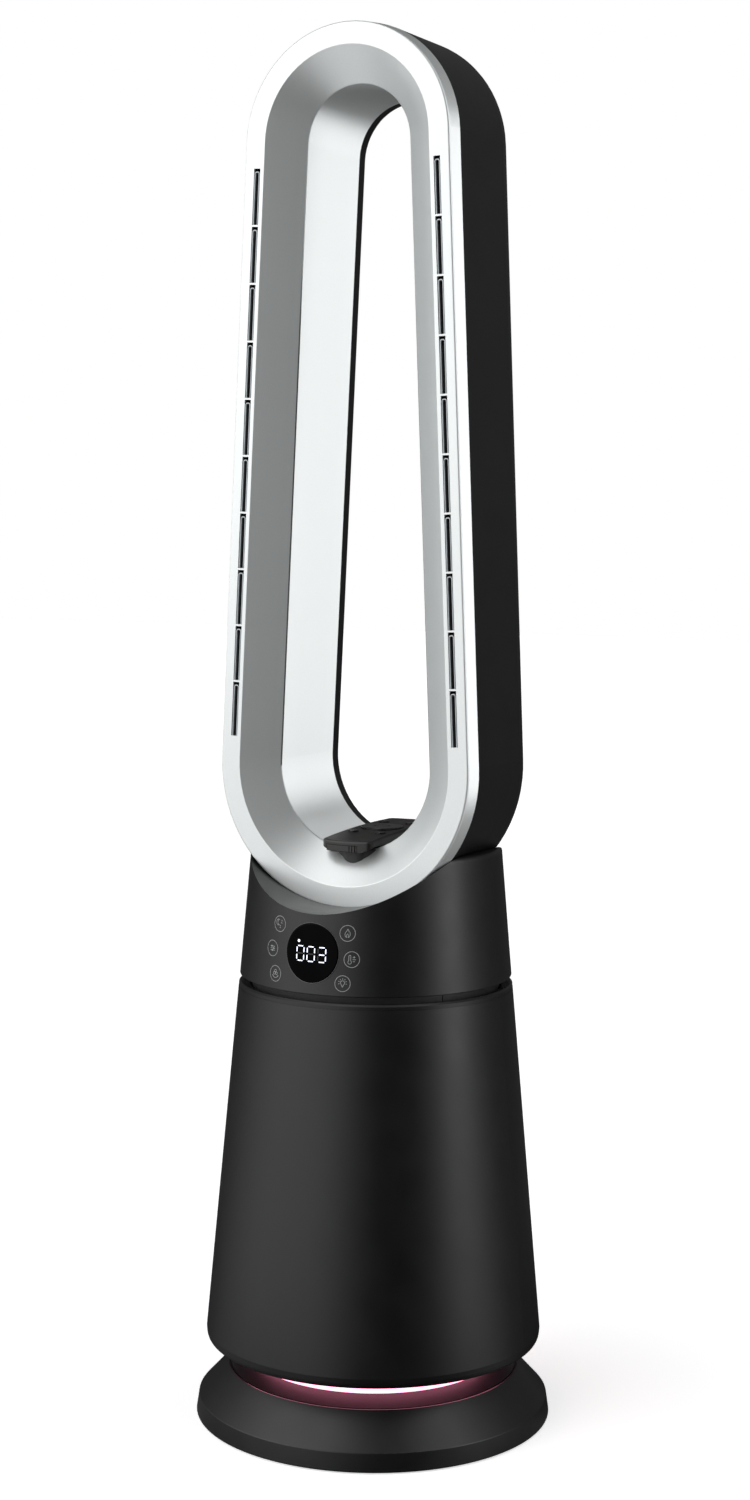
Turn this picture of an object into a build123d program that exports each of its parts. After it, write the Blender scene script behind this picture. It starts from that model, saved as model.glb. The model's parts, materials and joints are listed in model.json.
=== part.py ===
"""Bladeless tower fan with heater, remote control and lit foot.

Millimetres, +Z up, the front faces -Y and +X is on the right of someone who looks at the front.
The origin is on the floor under the middle of the round foot.
"""
from build123d import *
import math
import os

# ---------------------------------------------------------------- driving dimensions
WALL = 2.5                  # moulded housing wall
GAP = 0.6                   # visible joint between two housing pieces
RUN = 0.3                   # running clearance between pieces that move on each other

# foot
FOOT_R = 131.0
PAD_H = 1.0                 # rubber pads stand this proud
PAD_R = 9.0
PAD_COUNT = 6
RIM_H = 13.3                # rim of the foot, nearly upright
RIM_LEAN = 2.0              # its upper edge lies this far in from its lower one
FOOT_CONE_H = 23.2          # from the rim to the fine groove
GROOVE_R = 107.4
GROOVE_W = 1.0
DISH_RISE = 6.0             # from the groove up to the light ring
LIGHT_R = 91.0
LIGHT_T = 4.5
BALLAST_H = 10.0
BALLAST_EASE = 3.0          # round the pedestal and beside the socket
BALLAST_OVERHANG = 6.0      # its outer edge lies this far outside the groove
PEDESTAL_T = 3.0
PEDESTAL_FLANGE = 1.5       # the light shelf reaches this far past the light ring
SCREW_R = 1.6
SCREW_PLAY = 0.1
SCREW_HEAD_R, SCREW_HEAD_H = 3.4, 1.2
SCREW_SLOT_W, SCREW_SLOT_H = 0.8, 0.6
BOSS_R, BOSS_H = 6.5, 16.0
SCREW_TIP_GAP = 3.0         # blind end of a boss above the screw
LIGHT_COUNT = 24
LIGHT_BOARD_T = 1.0
LIGHT_CHIP_R, LIGHT_CHIP_H = 1.2, 0.6
LIGHT_EASE = 0.8            # between the light board and the milky ring
INLET_W, INLET_H, INLET_L = 26.0, 14.0, 24.0
INLET_RECESS = 8.0          # its mouth lies this deep behind the rim
INLET_EASE = 0.2
SOCKET_W, SOCKET_DEPTH, SOCKET_WALL = 18.0, 14.0, 2.5
PRONG_R, PRONG_X, PRONG_L = 1.2, 4.3, 10.0

# lower body, a tapered drum
BODY_GAP = 19.5             # from the groove up to the underside of the body
BODY_H = 262.5
BODY_TOP_R = 100.5
BODY_SLOPE = 0.0903         # radius lost per millimetre of height
BODY_EDGE_R = 5.0           # rounded bottom edge
BODY_EDGE_H = 8.0           # height at which the straight taper starts
BODY_EDGE_IN = 1.5
BODY_LIP_W = 12.0           # the housing turns in this far under the drum
CAP_H = 4.0
CAP_LIP_IN = 8.5            # the cap turns in this far from the drum's top edge
CAP_STEP = 0.3              # the cap lies this far inside the drum
CAP_BEVEL = 1.3
CAP_FLAT = 4.0              # width of its lip's slope
CAP_DROP = 2.6              # the slope ends this far below the top
FLOOR_T, FLOOR_HOLE_R = 4.0, 20.0
BOARD_POST_R = 3.5
POWER_BOARD_W, POWER_BOARD_D, BOARD_T = 84.0, 64.0, 1.6
BOARD_LIFT = 12.0           # power board above the underside of the drum
BOARD_MARGIN = 8.0          # post centres in from the board's corner
CAPACITOR_R, CAPACITOR_H = 9.0, 27.5
COIL_W, COIL_D, COIL_H = 32.0, 28.0, 22.5
RELAY_W, RELAY_D, RELAY_H = 22.0, 16.0, 14.5
COVER_HALF_ANGLE = 58.0     # rear intake cover, either side of +Y
COVER_MARGIN = 12.0         # housing left above and below the cover
SLOT_COLUMNS = 23
SLOT_ROWS = 5
INTAKE_SLOT_W = 3.0
INTAKE_BAR = 7.0            # bar between two rows of intake slots
INTAKE_SIDE = 6.0           # degrees left plain at either side of the slots
PULL_W, PULL_H, PULL_Z = 44.0, 9.0, 15.6
FILTER_T = 16.0
FILTER_RIM = 4.0            # bars of the filter's frame
FILTER_MARGIN = 8.0         # the frame is this much lower than the cover at both ends
FILTER_SIDE = 12.0          # degrees between the frame's side and the cover's
PLEATS = 36
PAPER_T = 1.6
PAPER_EASE = 1.5

# neck and swivel
NECK_GAP = 5.0              # between the lower body and the head
NECK_RING_IN = 10.0         # the ring lies this far in from the drum's top edge
NECK_SPLIT_ANGLE = 59.0     # where the two halves of the neck ring meet, from the front
NECK_RING_T = 3.5
NECK_RING_EASE = 1.0        # under the head
DECK_T = 4.0
DECK_DROP = 3.5             # deck's top below the drum's top edge
DECK_EASE = 1.5             # between the deck's hole and the duct
BEARING_H = 3.0
BEARING_W = 17.0
DUCT_R = 56.0               # bore of the air duct through the neck
DUCT_T = 4.0
GEAR_MODULE = 1.5
GEAR_TEETH = 88
PINION_TEETH = 12
GEAR_H = 6.0
GEAR_DROP = 6.0             # gear's top below the deck
RETAINER_T, RETAINER_H = 3.0, 3.5
DUCT_TAIL = 4.5             # the duct ends this far below the gear
DUCT_HEAD = 12.0            # and this far above the bottom of the head
PINION_BORE_R = 2.5
PINION_ANGLE = 0.0          # the pinion stands on the front side of the duct
OSC_MOTOR_R = 14.0
OSC_MOTOR_H = 19.0
OSC_COLLAR_R, OSC_COLLAR_H = 4.5, 2.0
BRACKET_DROP = 4.0          # bracket below the gear
BRACKET_W, BRACKET_D, BRACKET_T = 48.0, 22.0, 2.0
BRACKET_POST_X, BRACKET_POST_Y = 20.0, 4.0
DECK_POST_IN = 7.5          # hanging screws, inward of the neck ring
DECK_SCREW_HEAD_R, DECK_SCREW_HEAD_H = 3.0, 2.0
DECK_SCREW_L = 12.0

# blower
SHROUD_R = 74.0
SHROUD_T = 2.5
IMPELLER_CLEARANCE = 1.5
SHROUD_MOUTH = 14.0         # the bell mouth narrows by this
SHROUD_FLARE = 5.0
SHROUD_MOUTH_H = 14.0       # mouth below the impeller
SHROUD_NECK_H = 10.0        # shoulder above the motor's bucket
DUCT_GAP = 2.0              # between the shroud and the turning duct
SHROUD_BELL_H = 9.0
LUG_W, LUG_T, LUG_POST_R = 10.0, 4.0, 4.0
BLOWER_GAP = 3.0            # between the impeller, the bucket and the swivel motor
IMPELLER_H = 30.0
BLADES = 9
BLADE_T, BLADE_TILT = 2.0, 38.0
HUB_R = 36.0
HUB_NOSE_R = 12.0
BUCKET_R = 40.0
BUCKET_H = 50.0
BUCKET_WALL = 3.0
BUCKET_HOLE_R = 14.0
BUCKET_SHOULDER = 14.0
STATOR_VANES = 9
VANE_T, VANE_TILT = 2.0, 12.0
MOTOR_R = 30.0
MOTOR_H = 38.0
MOTOR_LIFT = 5.0            # motor above the bottom of its bucket
MOTOR_VENT_R, MOTOR_VENT_H, MOTOR_VENTS = 3.0, 3.0, 8
MOUNT_H = 7.0
SHAFT_R = 4.0
SHAFT_FIT = 0.05
BEARING_WALL, MOTOR_BEARING_H = 4.0, 5.0

# head
HEAD_BASE_R = 99.5
HEAD_SLOPE = 0.087
CRADLE_Z = 56.0             # lowest point of the cradle above the bottom of the head
CRADLE_EASE = 8.5           # the cradle is this much larger than the loop's round bottom
HORN_Z = 94.5               # tips of the two horns above the bottom of the head
HORN_EDGE_R = 4.0
ROOF_T = 8.0
HEAD_EDGE_R = 0.8
SKIRT_R = 77.0              # of the hub under the head's floor
HEAD_FLOOR_T = 3.0
HEAD_FLOOR_Z = 0.4
LENS_R = 20.9
LENS_EASE = 0.2
LENS_Z = 29.0               # display centre above the bottom of the head
LENS_PROUD = 0.4
PANEL_SET_BACK = 19.5       # display's board behind the front of the head
DISPLAY_W, DISPLAY_T = 38.0, 6.8
DISPLAY_DOWN, DISPLAY_UP = 17.0, 15.0
TOUCH_W, TOUCH_DOWN, TOUCH_UP = 76.0, 22.0, 16.0
MANIFOLD_T = 2.5
MANIFOLD_FLANGE_W, MANIFOLD_FLANGE_H = 10.0, 2.6
HEATER_Z, HEATER_H = 16.0, 12.0
HEATER_W, HEATER_D = 75.6, 56.0
HEATER_GAPS, HEATER_GAP_W, HEATER_GAP_L = 14, 2.4, 22.4
HEATER_ARM_W, HEATER_ARM_H = 10.0, 4.0

# loop
LOOP_H = 617.0
LOOP_BOTTOM_R = HEAD_BASE_R  # the loop is as wide as the head's lower edge
LOOP_TOP_R = 79.8
LOOP_SINK = 1.4             # the loop sits this deep in the cradle
FRONT_Y = -54.6             # plane of the silver front band
SEAM_Y = -40.8              # silver front frame meets the black rear shell
CHAMFER_Y = -35.3           # inner end of the front chamfer
THROAT_END_Y = 41.4         # silver throat meets the black rim
BACK_Y = 52.4
BAND_W = 15.4
THROAT_INSET = 39.4         # throat wall, inward of the front outline
SEAM_FLARE = 1.6            # the side flares out by this at the seam
BACK_FLARE = 1.7            # and by this before the rear corner
LOOP_WALL = 2.2
BAND_EDGE_R, BAND_INNER_R, CHAMFER_EDGE_R, THROAT_EDGE_R = 1.6, 0.8, 1.5, 3.0
SEAL_W, SEAL_H, SEAL_EASE = 2.0, 6.0, 0.8
BACK_CORNER_R = 24.0
SLOTS_PER_SIDE = 10
SLOT_W = 5.0
SLOT_L = 39.1
SLOT_BAR = 1.3
SLOT_FRAME_T = 1.2
SLOT_INSET = 10.0           # slot centre line, inward of the front outline
SLOT_FIRST_Z = 15.7         # bottom of the lowest slot above the lower arc's centre
NECK_W, NECK_D = 72.0, 50.0 # air passage from the head into the loop
NECK_WALL = 2.0
NECK_REACH = 6.0            # into the loop

# remote control and its dock
DOCK_R = 17.0
DOCK_X, DOCK_Y = 2.5, -25.0
DOCK_H = 1.9                # above the floor of the throat
APRON_Y = -41.0             # front of the dock's apron, which hangs over the chamfer
APRON_H = 8.4               # from the dock's top to its lowest edge
APRON_R = 21.5              # its round lower edge, seen from the front
APRON_BOW_R = 30.0          # and its bowed front, seen from above
MAGNET_R = 5.0
MAGNET_T = 0.8
MAGNET_SKIN = 0.5           # of the dock above the magnet
MAGNET_EASE = 0.1
REMOTE_L = 112.0
REMOTE_W = 40.5
REMOTE_FRONT_Y = -49.5
REMOTE_BOW = 3.0            # both ends bulge by this
REMOTE_NOSE_H = 6.1
REMOTE_CROWN_H = 9.9
REMOTE_TAIL_H = 10.3
REMOTE_KEEL_W = 27.0        # flat underside
REMOTE_KEEL_H = 2.4         # height of the slanted sides
REMOTE_CHIN_W = 24.0        # lip under the nose, in front of the throat
REMOTE_CHIN_H, REMOTE_CHIN_D = 2.0, 6.0
REMOTE_CHIN_SIDE = 1.6      # its slanted sides end this far above the underside
REMOTE_SPLIT_H = 3.1
REMOTE_WALL = 1.5
REMOTE_CORNER_R = 5.0
REMOTE_EDGE_R = 1.8         # rounded upper edges
CENTER_BUTTON_R = 5.2
RING_PAD_R = 15.6
RING_PAD_HOLE_R = CENTER_BUTTON_R + 2 * RUN
SMALL_BUTTON_R = 3.8
BUTTON_PROUD = 0.9
BUTTON_TRAVEL = 0.6
BUTTON_GAP = 0.2            # left above the board at full travel
BUTTON_EDGE = 0.4
REMOTE_BOARD_T = 1.2
REMOTE_BOARD_END = 5.0      # short of the tail's wall
RING_PAD_Y = 58.0           # from the nose of the remote
SMALL_BUTTON_DY = 24.0
SMALL_BUTTON_X = 11.0
TRAY_W, TRAY_H = 25.0, 2.3
TRAY_X = -3.0
TRAY_BOTTOM = 0.5           # the tray's underside above the remote's
TRAY_FLOOR = 0.4
TRAY_FACE_T = 3.0
CELL_MARGIN = 2.5
CELL_EASE = 0.2
RIBS = 3
RIB_W, RIB_STEP, RIB_PROUD = 1.0, 2.2, 0.5
CELL_R, CELL_H = 10.0, 1.6

# ---------------------------------------------------------------- levels worked out from them
plate_top_z = PAD_H + WALL
rim_z = PAD_H + RIM_H
groove_z = rim_z + FOOT_CONE_H
dish_z = groove_z + DISH_RISE
body_z = groove_z + BODY_GAP
body_top_z = body_z + BODY_H
cap_lip_r = BODY_TOP_R - CAP_LIP_IN
neck_ring_r = BODY_TOP_R - NECK_RING_IN
cap_top_z = body_top_z + CAP_H
head_z = cap_top_z + NECK_GAP
cover_z0 = body_z + COVER_MARGIN
cover_z1 = body_top_z - COVER_MARGIN
deck_z = body_top_z - DECK_T - DECK_DROP
bearing_z = deck_z + DECK_T
flange_z = bearing_z + BEARING_H + RUN
duct_out_r = DUCT_R + DUCT_T
head_floor_z = head_z + HEAD_FLOOR_Z
gear_z = deck_z - GEAR_H - GEAR_DROP
gear_pitch_r = GEAR_MODULE * GEAR_TEETH / 2
pinion_pitch_r = GEAR_MODULE * PINION_TEETH / 2
pinion_r = gear_pitch_r + pinion_pitch_r
pinion_x = pinion_r * math.sin(math.radians(PINION_ANGLE))
pinion_y = -pinion_r * math.cos(math.radians(PINION_ANGLE))
duct_end_z = gear_z - DUCT_TAIL
bracket_z = gear_z - BRACKET_DROP
shroud_top_z = duct_end_z - DUCT_GAP
shroud_neck_z = bracket_z - OSC_MOTOR_H - BLOWER_GAP
bucket_z1 = shroud_neck_z - SHROUD_NECK_H
bucket_z0 = bucket_z1 - BUCKET_H
impeller_z1 = bucket_z0 - BLOWER_GAP
impeller_z0 = impeller_z1 - IMPELLER_H
shroud_z = impeller_z0 - SHROUD_MOUTH_H
cradle_floor_z = head_z + CRADLE_Z
cradle_r = LOOP_BOTTOM_R + CRADLE_EASE
cradle_axis_z = cradle_floor_z + cradle_r
horn_z = head_z + HORN_Z
lens_z = head_z + LENS_Z
loop_bottom_z = cradle_floor_z - LOOP_SINK
loop_low_z = loop_bottom_z + LOOP_BOTTOM_R
loop_high_z = loop_bottom_z + LOOP_H - LOOP_TOP_R
loop_span = loop_high_z - loop_low_z
loop_taper = math.asin((LOOP_BOTTOM_R - LOOP_TOP_R) / loop_span)
throat_floor_z = loop_bottom_z + THROAT_INSET
dock_top_z = throat_floor_z + DOCK_H
remote_z = dock_top_z + RUN
remote_end_y = REMOTE_FRONT_Y + REMOTE_L


# ---------------------------------------------------------------- shape helpers
def body_r(z):
    """Outer radius of the lower body at a height."""
    return BODY_TOP_R + BODY_SLOPE * (body_top_z - z)


def head_r(z):
    """Outer radius of the head at a height."""
    return HEAD_BASE_R - HEAD_SLOPE * (z - head_z)


def rounded_face(corners):
    """Face on XY from (u, v, corner radius); sharp where the radius is 0."""
    count = len(corners)
    starts, ends, mids = [], [], []
    for i in range(count):
        u, v, radius = corners[i]
        corner = Vector(u, v)
        before = (Vector(*corners[i - 1][:2]) - corner).normalized()
        after = (Vector(*corners[(i + 1) % count][:2]) - corner).normalized()
        half = math.radians(before.get_angle(after)) / 2
        reach = radius / math.tan(half)
        starts.append(corner + before * reach)
        ends.append(corner + after * reach)
        bisector = (before + after).normalized()
        mids.append(corner + bisector * (radius / math.sin(half) - radius))
    edges = []
    for i in range(count):
        if corners[i][2] > 0:
            edges.append(ThreePointArc(starts[i], mids[i], ends[i]))
        edges.append(Line(ends[i], starts[(i + 1) % count]))
    return make_face(edges)


def turned(corners):
    """Solid turned about Z from (radius, height) or (radius, height, corner radius) points."""
    face = rounded_face([(c[0], c[1], c[2] if len(c) > 2 else 0) for c in corners])
    return revolve(Plane.XZ.location * face, Axis.Z)


def tube(r_in, r_out, z0, z1):
    """Plain ring."""
    return turned([(r_in, z0), (r_out, z0), (r_out, z1), (r_in, z1)])


def disc(r, z0, z1, x=0.0, y=0.0):
    """Upright cylinder."""
    return Pos(x, y, (z0 + z1) / 2) * Cylinder(r, z1 - z0)


def block(x0, x1, y0, y1, z0, z1):
    """Box between two corners."""
    return Pos((x0 + x1) / 2, (y0 + y1) / 2, (z0 + z1) / 2) * Box(x1 - x0, y1 - y0, z1 - z0)


def lying(r, y0, y1, z, x=0.0):
    """Cylinder along Y."""
    return Pos(x, (y0 + y1) / 2, z) * Rot(90, 0, 0) * Cylinder(r, y1 - y0)


def cone_shell(radius_at, inset, thickness, z0, z1):
    """Tapered shell whose outer face is `inset` inside the radius function."""
    outer0, outer1 = radius_at(z0) - inset, radius_at(z1) - inset
    return turned([(outer0 - thickness, z0), (outer0, z0), (outer1, z1), (outer1 - thickness, z1)])


def rear_wedge(half_angle, z0, z1):
    """Wedge round +Y, as wide as the angle either side."""
    reach = 5 * FOOT_R
    x, y = reach * math.sin(math.radians(half_angle)), reach * math.cos(math.radians(half_angle))
    face = make_face(Polyline((0, 0), (x, y), (-x, y), close=True))
    return Pos(0, 0, z0) * extrude(face, z1 - z0)


def on_circle(r, angle_from_front):
    """Point at a radius, turned from the front towards +X."""
    a = math.radians(angle_from_front)
    return r * math.sin(a), -r * math.cos(a)


def gear(teeth, bore_r, z, phase):
    """Spur gear with straight-flanked teeth; a tooth points along +X at phase 0."""
    pitch_r = GEAR_MODULE * teeth / 2
    root_r, tip_r = pitch_r - 1.15 * GEAR_MODULE, pitch_r + 0.85 * GEAR_MODULE
    step = 360 / teeth
    points = []
    for i in range(teeth):
        for r, share in ((root_r, -0.30), (tip_r, -0.11), (tip_r, 0.11), (root_r, 0.30)):
            a = math.radians(phase + step * (i + share))
            points.append((r * math.cos(a), r * math.sin(a)))
    face = make_face(Polyline(*points, close=True)) - Circle(bore_r)
    return Pos(0, 0, z) * extrude(face, GEAR_H)


# ---------------------------------------------------------------- foot
foot_wall_r = FOOT_R - WALL
flange_top_z = dish_z - WALL - LIGHT_BOARD_T
pedestal_r = LIGHT_R - LIGHT_T - RUN
screw_circle_r = pedestal_r - PEDESTAL_T - BOSS_R + 0.5
inlet_y = FOOT_R - INLET_RECESS
boss_top_z = plate_top_z + BOSS_H
screw_top_z = boss_top_z - SCREW_TIP_GAP
head_seat_z = PAD_H + 2 * SCREW_PLAY + SCREW_HEAD_H
screw_angles = (45, 135, 225, 315)


def foot_shell():
    """Rim, cone, fine groove and the dish that rises to the light ring."""
    drop = 1.2 * WALL
    shell = turned([
        (FOOT_R, PAD_H, 0.8), (FOOT_R - RIM_LEAN, rim_z, 1.2),
        (GROOVE_R, groove_z), (GROOVE_R - GROOVE_W, groove_z),
        (GROOVE_R - GROOVE_W, groove_z - GROOVE_W), (GROOVE_R - 2 * GROOVE_W, groove_z - GROOVE_W),
        (GROOVE_R - 2 * GROOVE_W, groove_z + 0.2), (LIGHT_R + RUN, dish_z),
        (LIGHT_R + RUN, dish_z - WALL), (GROOVE_R - 2 * GROOVE_W, groove_z - drop),
        (foot_wall_r - RIM_LEAN, rim_z - 1.0), (foot_wall_r, plate_top_z), (foot_wall_r, PAD_H)])
    half = INLET_W / 2 + INLET_EASE
    return shell - block(-half, half, 0.7 * FOOT_R, 1.1 * FOOT_R,
                         plate_top_z, plate_top_z + INLET_H + INLET_EASE)


def base_plate():
    """Steel plate that closes the foot from below, countersunk for four screws."""
    plate = disc(foot_wall_r - RUN, PAD_H, plate_top_z)
    for angle in screw_angles:
        x, y = on_circle(screw_circle_r, angle)
        plate -= disc(SCREW_R + 2 * SCREW_PLAY, PAD_H, plate_top_z, x, y)
        plate -= disc(SCREW_HEAD_R + SCREW_PLAY, PAD_H, head_seat_z, x, y)
    return plate


def ballast_ring():
    """Steel ring that keeps the tall fan upright."""
    ring = tube(pedestal_r + BALLAST_EASE, GROOVE_R + BALLAST_OVERHANG,
                plate_top_z, plate_top_z + BALLAST_H)
    half = INLET_W / 2 + BALLAST_EASE
    return ring - block(-half, half, 0, FOOT_R, plate_top_z, body_z)


def rubber_feet():
    """Six pads under the foot."""
    places = [on_circle(FOOT_R - 2 * PAD_R, 30 + i * 360 / PAD_COUNT) for i in range(PAD_COUNT)]
    return Compound(children=[disc(PAD_R, 0, PAD_H, x, y) for x, y in places])


def foot_screws():
    """Four countersunk screws that hold the plate to the pedestal."""
    screws = []
    for angle in screw_angles:
        x, y = on_circle(screw_circle_r, angle)
        head = disc(SCREW_HEAD_R, head_seat_z - SCREW_HEAD_H, head_seat_z, x, y)
        slot = block(x - 0.65 * SCREW_HEAD_R, x + 0.65 * SCREW_HEAD_R, y - SCREW_SLOT_W / 2,
                     y + SCREW_SLOT_W / 2, PAD_H, head_seat_z - SCREW_HEAD_H + SCREW_SLOT_H)
        screws.append(head - slot + disc(SCREW_R, head_seat_z, screw_top_z, x, y))
    return Compound(children=screws)


def pedestal():
    """Drum that carries the body, with a shelf for the light board and four screw bosses."""
    drum = turned([
        (pedestal_r - PEDESTAL_T, plate_top_z), (pedestal_r, plate_top_z),
        (pedestal_r, flange_top_z - WALL), (LIGHT_R + PEDESTAL_FLANGE, flange_top_z - WALL),
        (LIGHT_R + PEDESTAL_FLANGE, flange_top_z), (pedestal_r, flange_top_z),
        (pedestal_r, body_z), (pedestal_r - PEDESTAL_T, body_z)])
    for angle in screw_angles:
        x, y = on_circle(screw_circle_r, angle)
        drum += disc(BOSS_R, plate_top_z, boss_top_z, x, y)
    for angle in screw_angles:
        x, y = on_circle(screw_circle_r, angle)
        drum -= disc(SCREW_R, plate_top_z, screw_top_z, x, y)
    return drum


def light_board():
    """Ring of light-emitting diodes on a board under the diffuser."""
    board_z = flange_top_z + LIGHT_BOARD_T
    board = tube(pedestal_r + RUN, LIGHT_R, flange_top_z, board_z)
    for i in range(LIGHT_COUNT):
        x, y = on_circle(pedestal_r + LIGHT_T / 2, i * 360 / LIGHT_COUNT)
        board += disc(LIGHT_CHIP_R, board_z - LIGHT_BOARD_T / 2, board_z + LIGHT_CHIP_H, x, y)
    return board


def light_ring():
    """Milky ring that glows between the foot and the body."""
    return tube(pedestal_r + RUN, LIGHT_R, flange_top_z + LIGHT_BOARD_T + LIGHT_EASE, body_z)


def cord_inlet():
    """Two-pin appliance inlet at the back of the foot."""
    z0, z1 = plate_top_z, plate_top_z + INLET_H
    bottom_y = inlet_y - SOCKET_DEPTH
    inlet = block(-INLET_W / 2, INLET_W / 2, inlet_y - INLET_L, inlet_y, z0, z1)
    inlet -= block(-SOCKET_W / 2, SOCKET_W / 2, bottom_y, inlet_y, z0 + SOCKET_WALL, z1 - SOCKET_WALL)
    for x in (-PRONG_X, PRONG_X):
        inlet += lying(PRONG_R, bottom_y - PRONG_R, bottom_y + PRONG_L, (z0 + z1) / 2, x)
    return inlet


# ---------------------------------------------------------------- lower body
def lower_housing():
    """Tapered drum with a rounded bottom edge and the opening for the rear cover."""
    edge_z = body_z + BODY_EDGE_H
    lip_r = body_r(body_z) - BODY_LIP_W
    shell = turned([
        (lip_r, body_z), (body_r(body_z) - BODY_EDGE_IN, body_z, BODY_EDGE_R),
        (body_r(edge_z), edge_z), (body_r(body_top_z), body_top_z),
        (body_r(body_top_z) - WALL, body_top_z), (body_r(edge_z) - WALL, edge_z, WALL),
        (body_r(body_z) - 2 * WALL, body_z + WALL), (lip_r, body_z + WALL)])
    return shell - rear_wedge(COVER_HALF_ANGLE, cover_z0, cover_z1)


def lower_floor():
    """Floor of the lower body with posts for the power board."""
    floor = tube(FLOOR_HOLE_R, body_r(body_z) - BODY_LIP_W, body_z, body_z + FLOOR_T)
    post_x, post_y = POWER_BOARD_W / 2 - BOARD_MARGIN, POWER_BOARD_D / 2 - BOARD_MARGIN
    for x in (-post_x, post_x):
        for y in (-post_y, post_y):
            floor += disc(BOARD_POST_R, body_z + FLOOR_T / 2, body_z + BOARD_LIFT, x, y)
    return floor


def power_board():
    """Mains supply board with its capacitor, transformer and relay."""
    z0 = body_z + BOARD_LIFT
    z1 = z0 + BOARD_T
    half_w, half_d = POWER_BOARD_W / 2, POWER_BOARD_D / 2
    corner_x, corner_y = half_w - BOARD_MARGIN, half_d - BOARD_MARGIN
    board = block(-half_w, half_w, -half_d, half_d, z0, z1)
    board += disc(CAPACITOR_R, z0, z1 + CAPACITOR_H, CAPACITOR_R - corner_x, corner_y - CAPACITOR_R)
    board += block(corner_x - COIL_W, corner_x, corner_y - COIL_D, corner_y, z0, z1 + COIL_H)
    board += block(-corner_x, RELAY_W - corner_x, -corner_y, RELAY_D - corner_y, z0, z1 + RELAY_H)
    return board


def cap_ring():
    """Top ring of the lower body; its lip slopes down to the neck."""
    cap_r = body_r(body_top_z) - CAP_STEP
    return turned([
        (cap_lip_r, body_top_z), (cap_r, body_top_z), (cap_r, cap_top_z - CAP_BEVEL),
        (cap_r - CAP_BEVEL, cap_top_z), (cap_lip_r + CAP_FLAT, cap_top_z - CAP_STEP),
        (cap_lip_r, cap_top_z - CAP_DROP)])


def cover_slots():
    """Rows of upright slots through the rear cover."""
    z0, z1 = cover_z0 + 3 * COVER_MARGIN / 4, cover_z1 - 2.5 * COVER_MARGIN
    height = (z1 - z0 - INTAKE_BAR * (SLOT_ROWS - 1)) / SLOT_ROWS
    step = 2 * (COVER_HALF_ANGLE - INTAKE_SIDE) / (SLOT_COLUMNS - 1)
    cutters = []
    for row in range(SLOT_ROWS):
        z = z0 + row * (height + INTAKE_BAR) + height / 2
        bar = Pos(0, body_r(z), z) * Box(INTAKE_SLOT_W, 8 * WALL, height)
        for column in range(SLOT_COLUMNS):
            cutters.append(Rot(0, 0, step * (column - (SLOT_COLUMNS - 1) / 2)) * bar)
    return cutters


def rear_cover():
    """Slotted intake cover that lifts off backwards, with a finger pull at its top."""
    cover = cone_shell(body_r, 0, WALL, cover_z0 + GAP, cover_z1 - GAP)
    cover &= rear_wedge(COVER_HALF_ANGLE - math.degrees(GAP / BODY_TOP_R), cover_z0, cover_z1)
    pull_z = cover_z1 - PULL_Z
    pull = Pos(0, body_r(pull_z) + WALL / 2, pull_z) * Box(PULL_W, 2 * WALL, PULL_H)
    return cover - cover_slots() - pull


filter_z0 = cover_z0 + FILTER_MARGIN
filter_z1 = cover_z1 - FILTER_MARGIN
filter_inset = WALL + RUN
filter_half_angle = COVER_HALF_ANGLE - FILTER_SIDE
rim_half_angle = filter_half_angle - math.degrees(FILTER_RIM / BODY_TOP_R)


def filter_frame():
    """Frame of the filter, clipped to the inside of the rear cover."""
    frame = cone_shell(body_r, filter_inset, FILTER_T, filter_z0, filter_z1)
    frame &= rear_wedge(filter_half_angle, filter_z0, filter_z1)
    inner = cone_shell(body_r, filter_inset - RUN, FILTER_T + 2 * RUN, filter_z0 + FILTER_RIM,
                       filter_z1 - FILTER_RIM)
    inner &= rear_wedge(rim_half_angle, filter_z0, filter_z1)
    return frame - inner


def pleat_outline(z):
    """Zigzag band at one height."""
    r_out = body_r(z) - filter_inset - PAPER_EASE
    r_in = r_out - FILTER_T + 2 * PAPER_EASE
    span = 2 * rim_half_angle
    outer, inner = [], []
    for i in range(PLEATS + 1):
        a = math.radians(90 - span / 2 + span * i / PLEATS)
        r = r_out if i % 2 else r_in + PAPER_T
        outer.append((r * math.cos(a), r * math.sin(a), z))
        inner.append(((r - PAPER_T) * math.cos(a), (r - PAPER_T) * math.sin(a), z))
    return make_face(Polyline(*(outer + inner[::-1]), close=True))


def filter_media():
    """Pleated paper of the filter."""
    return loft([pleat_outline(filter_z0 + FILTER_RIM), pleat_outline(filter_z1 - FILTER_RIM)], ruled=True)


# ---------------------------------------------------------------- neck and swivel
def swivel_deck():
    """Plate that carries the head, with lugs for the blower and the swivel motor."""
    deck = tube(duct_out_r + DECK_EASE, body_r(bearing_z) - WALL, deck_z, bearing_z)
    for angle in post_angles:
        x, y = on_circle(post_r, angle)
        deck -= disc(SCREW_R + SCREW_PLAY, deck_z, bearing_z, x, y)
    return deck


def bearing_ring():
    """Low-friction ring that the head turns on."""
    inner_r = duct_out_r + RUN
    return tube(inner_r, inner_r + BEARING_W, bearing_z, bearing_z + BEARING_H)


def neck_ring():
    """Two half rings that close the gap between the body and the head."""
    ring = tube(neck_ring_r - NECK_RING_T, neck_ring_r, bearing_z, head_z - NECK_RING_EASE)
    cut = Rot(0, 0, NECK_SPLIT_ANGLE) * Box(GAP, 4 * neck_ring_r, 8 * neck_ring_r)
    return Compound(children=list((ring - cut).solids()))


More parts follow.
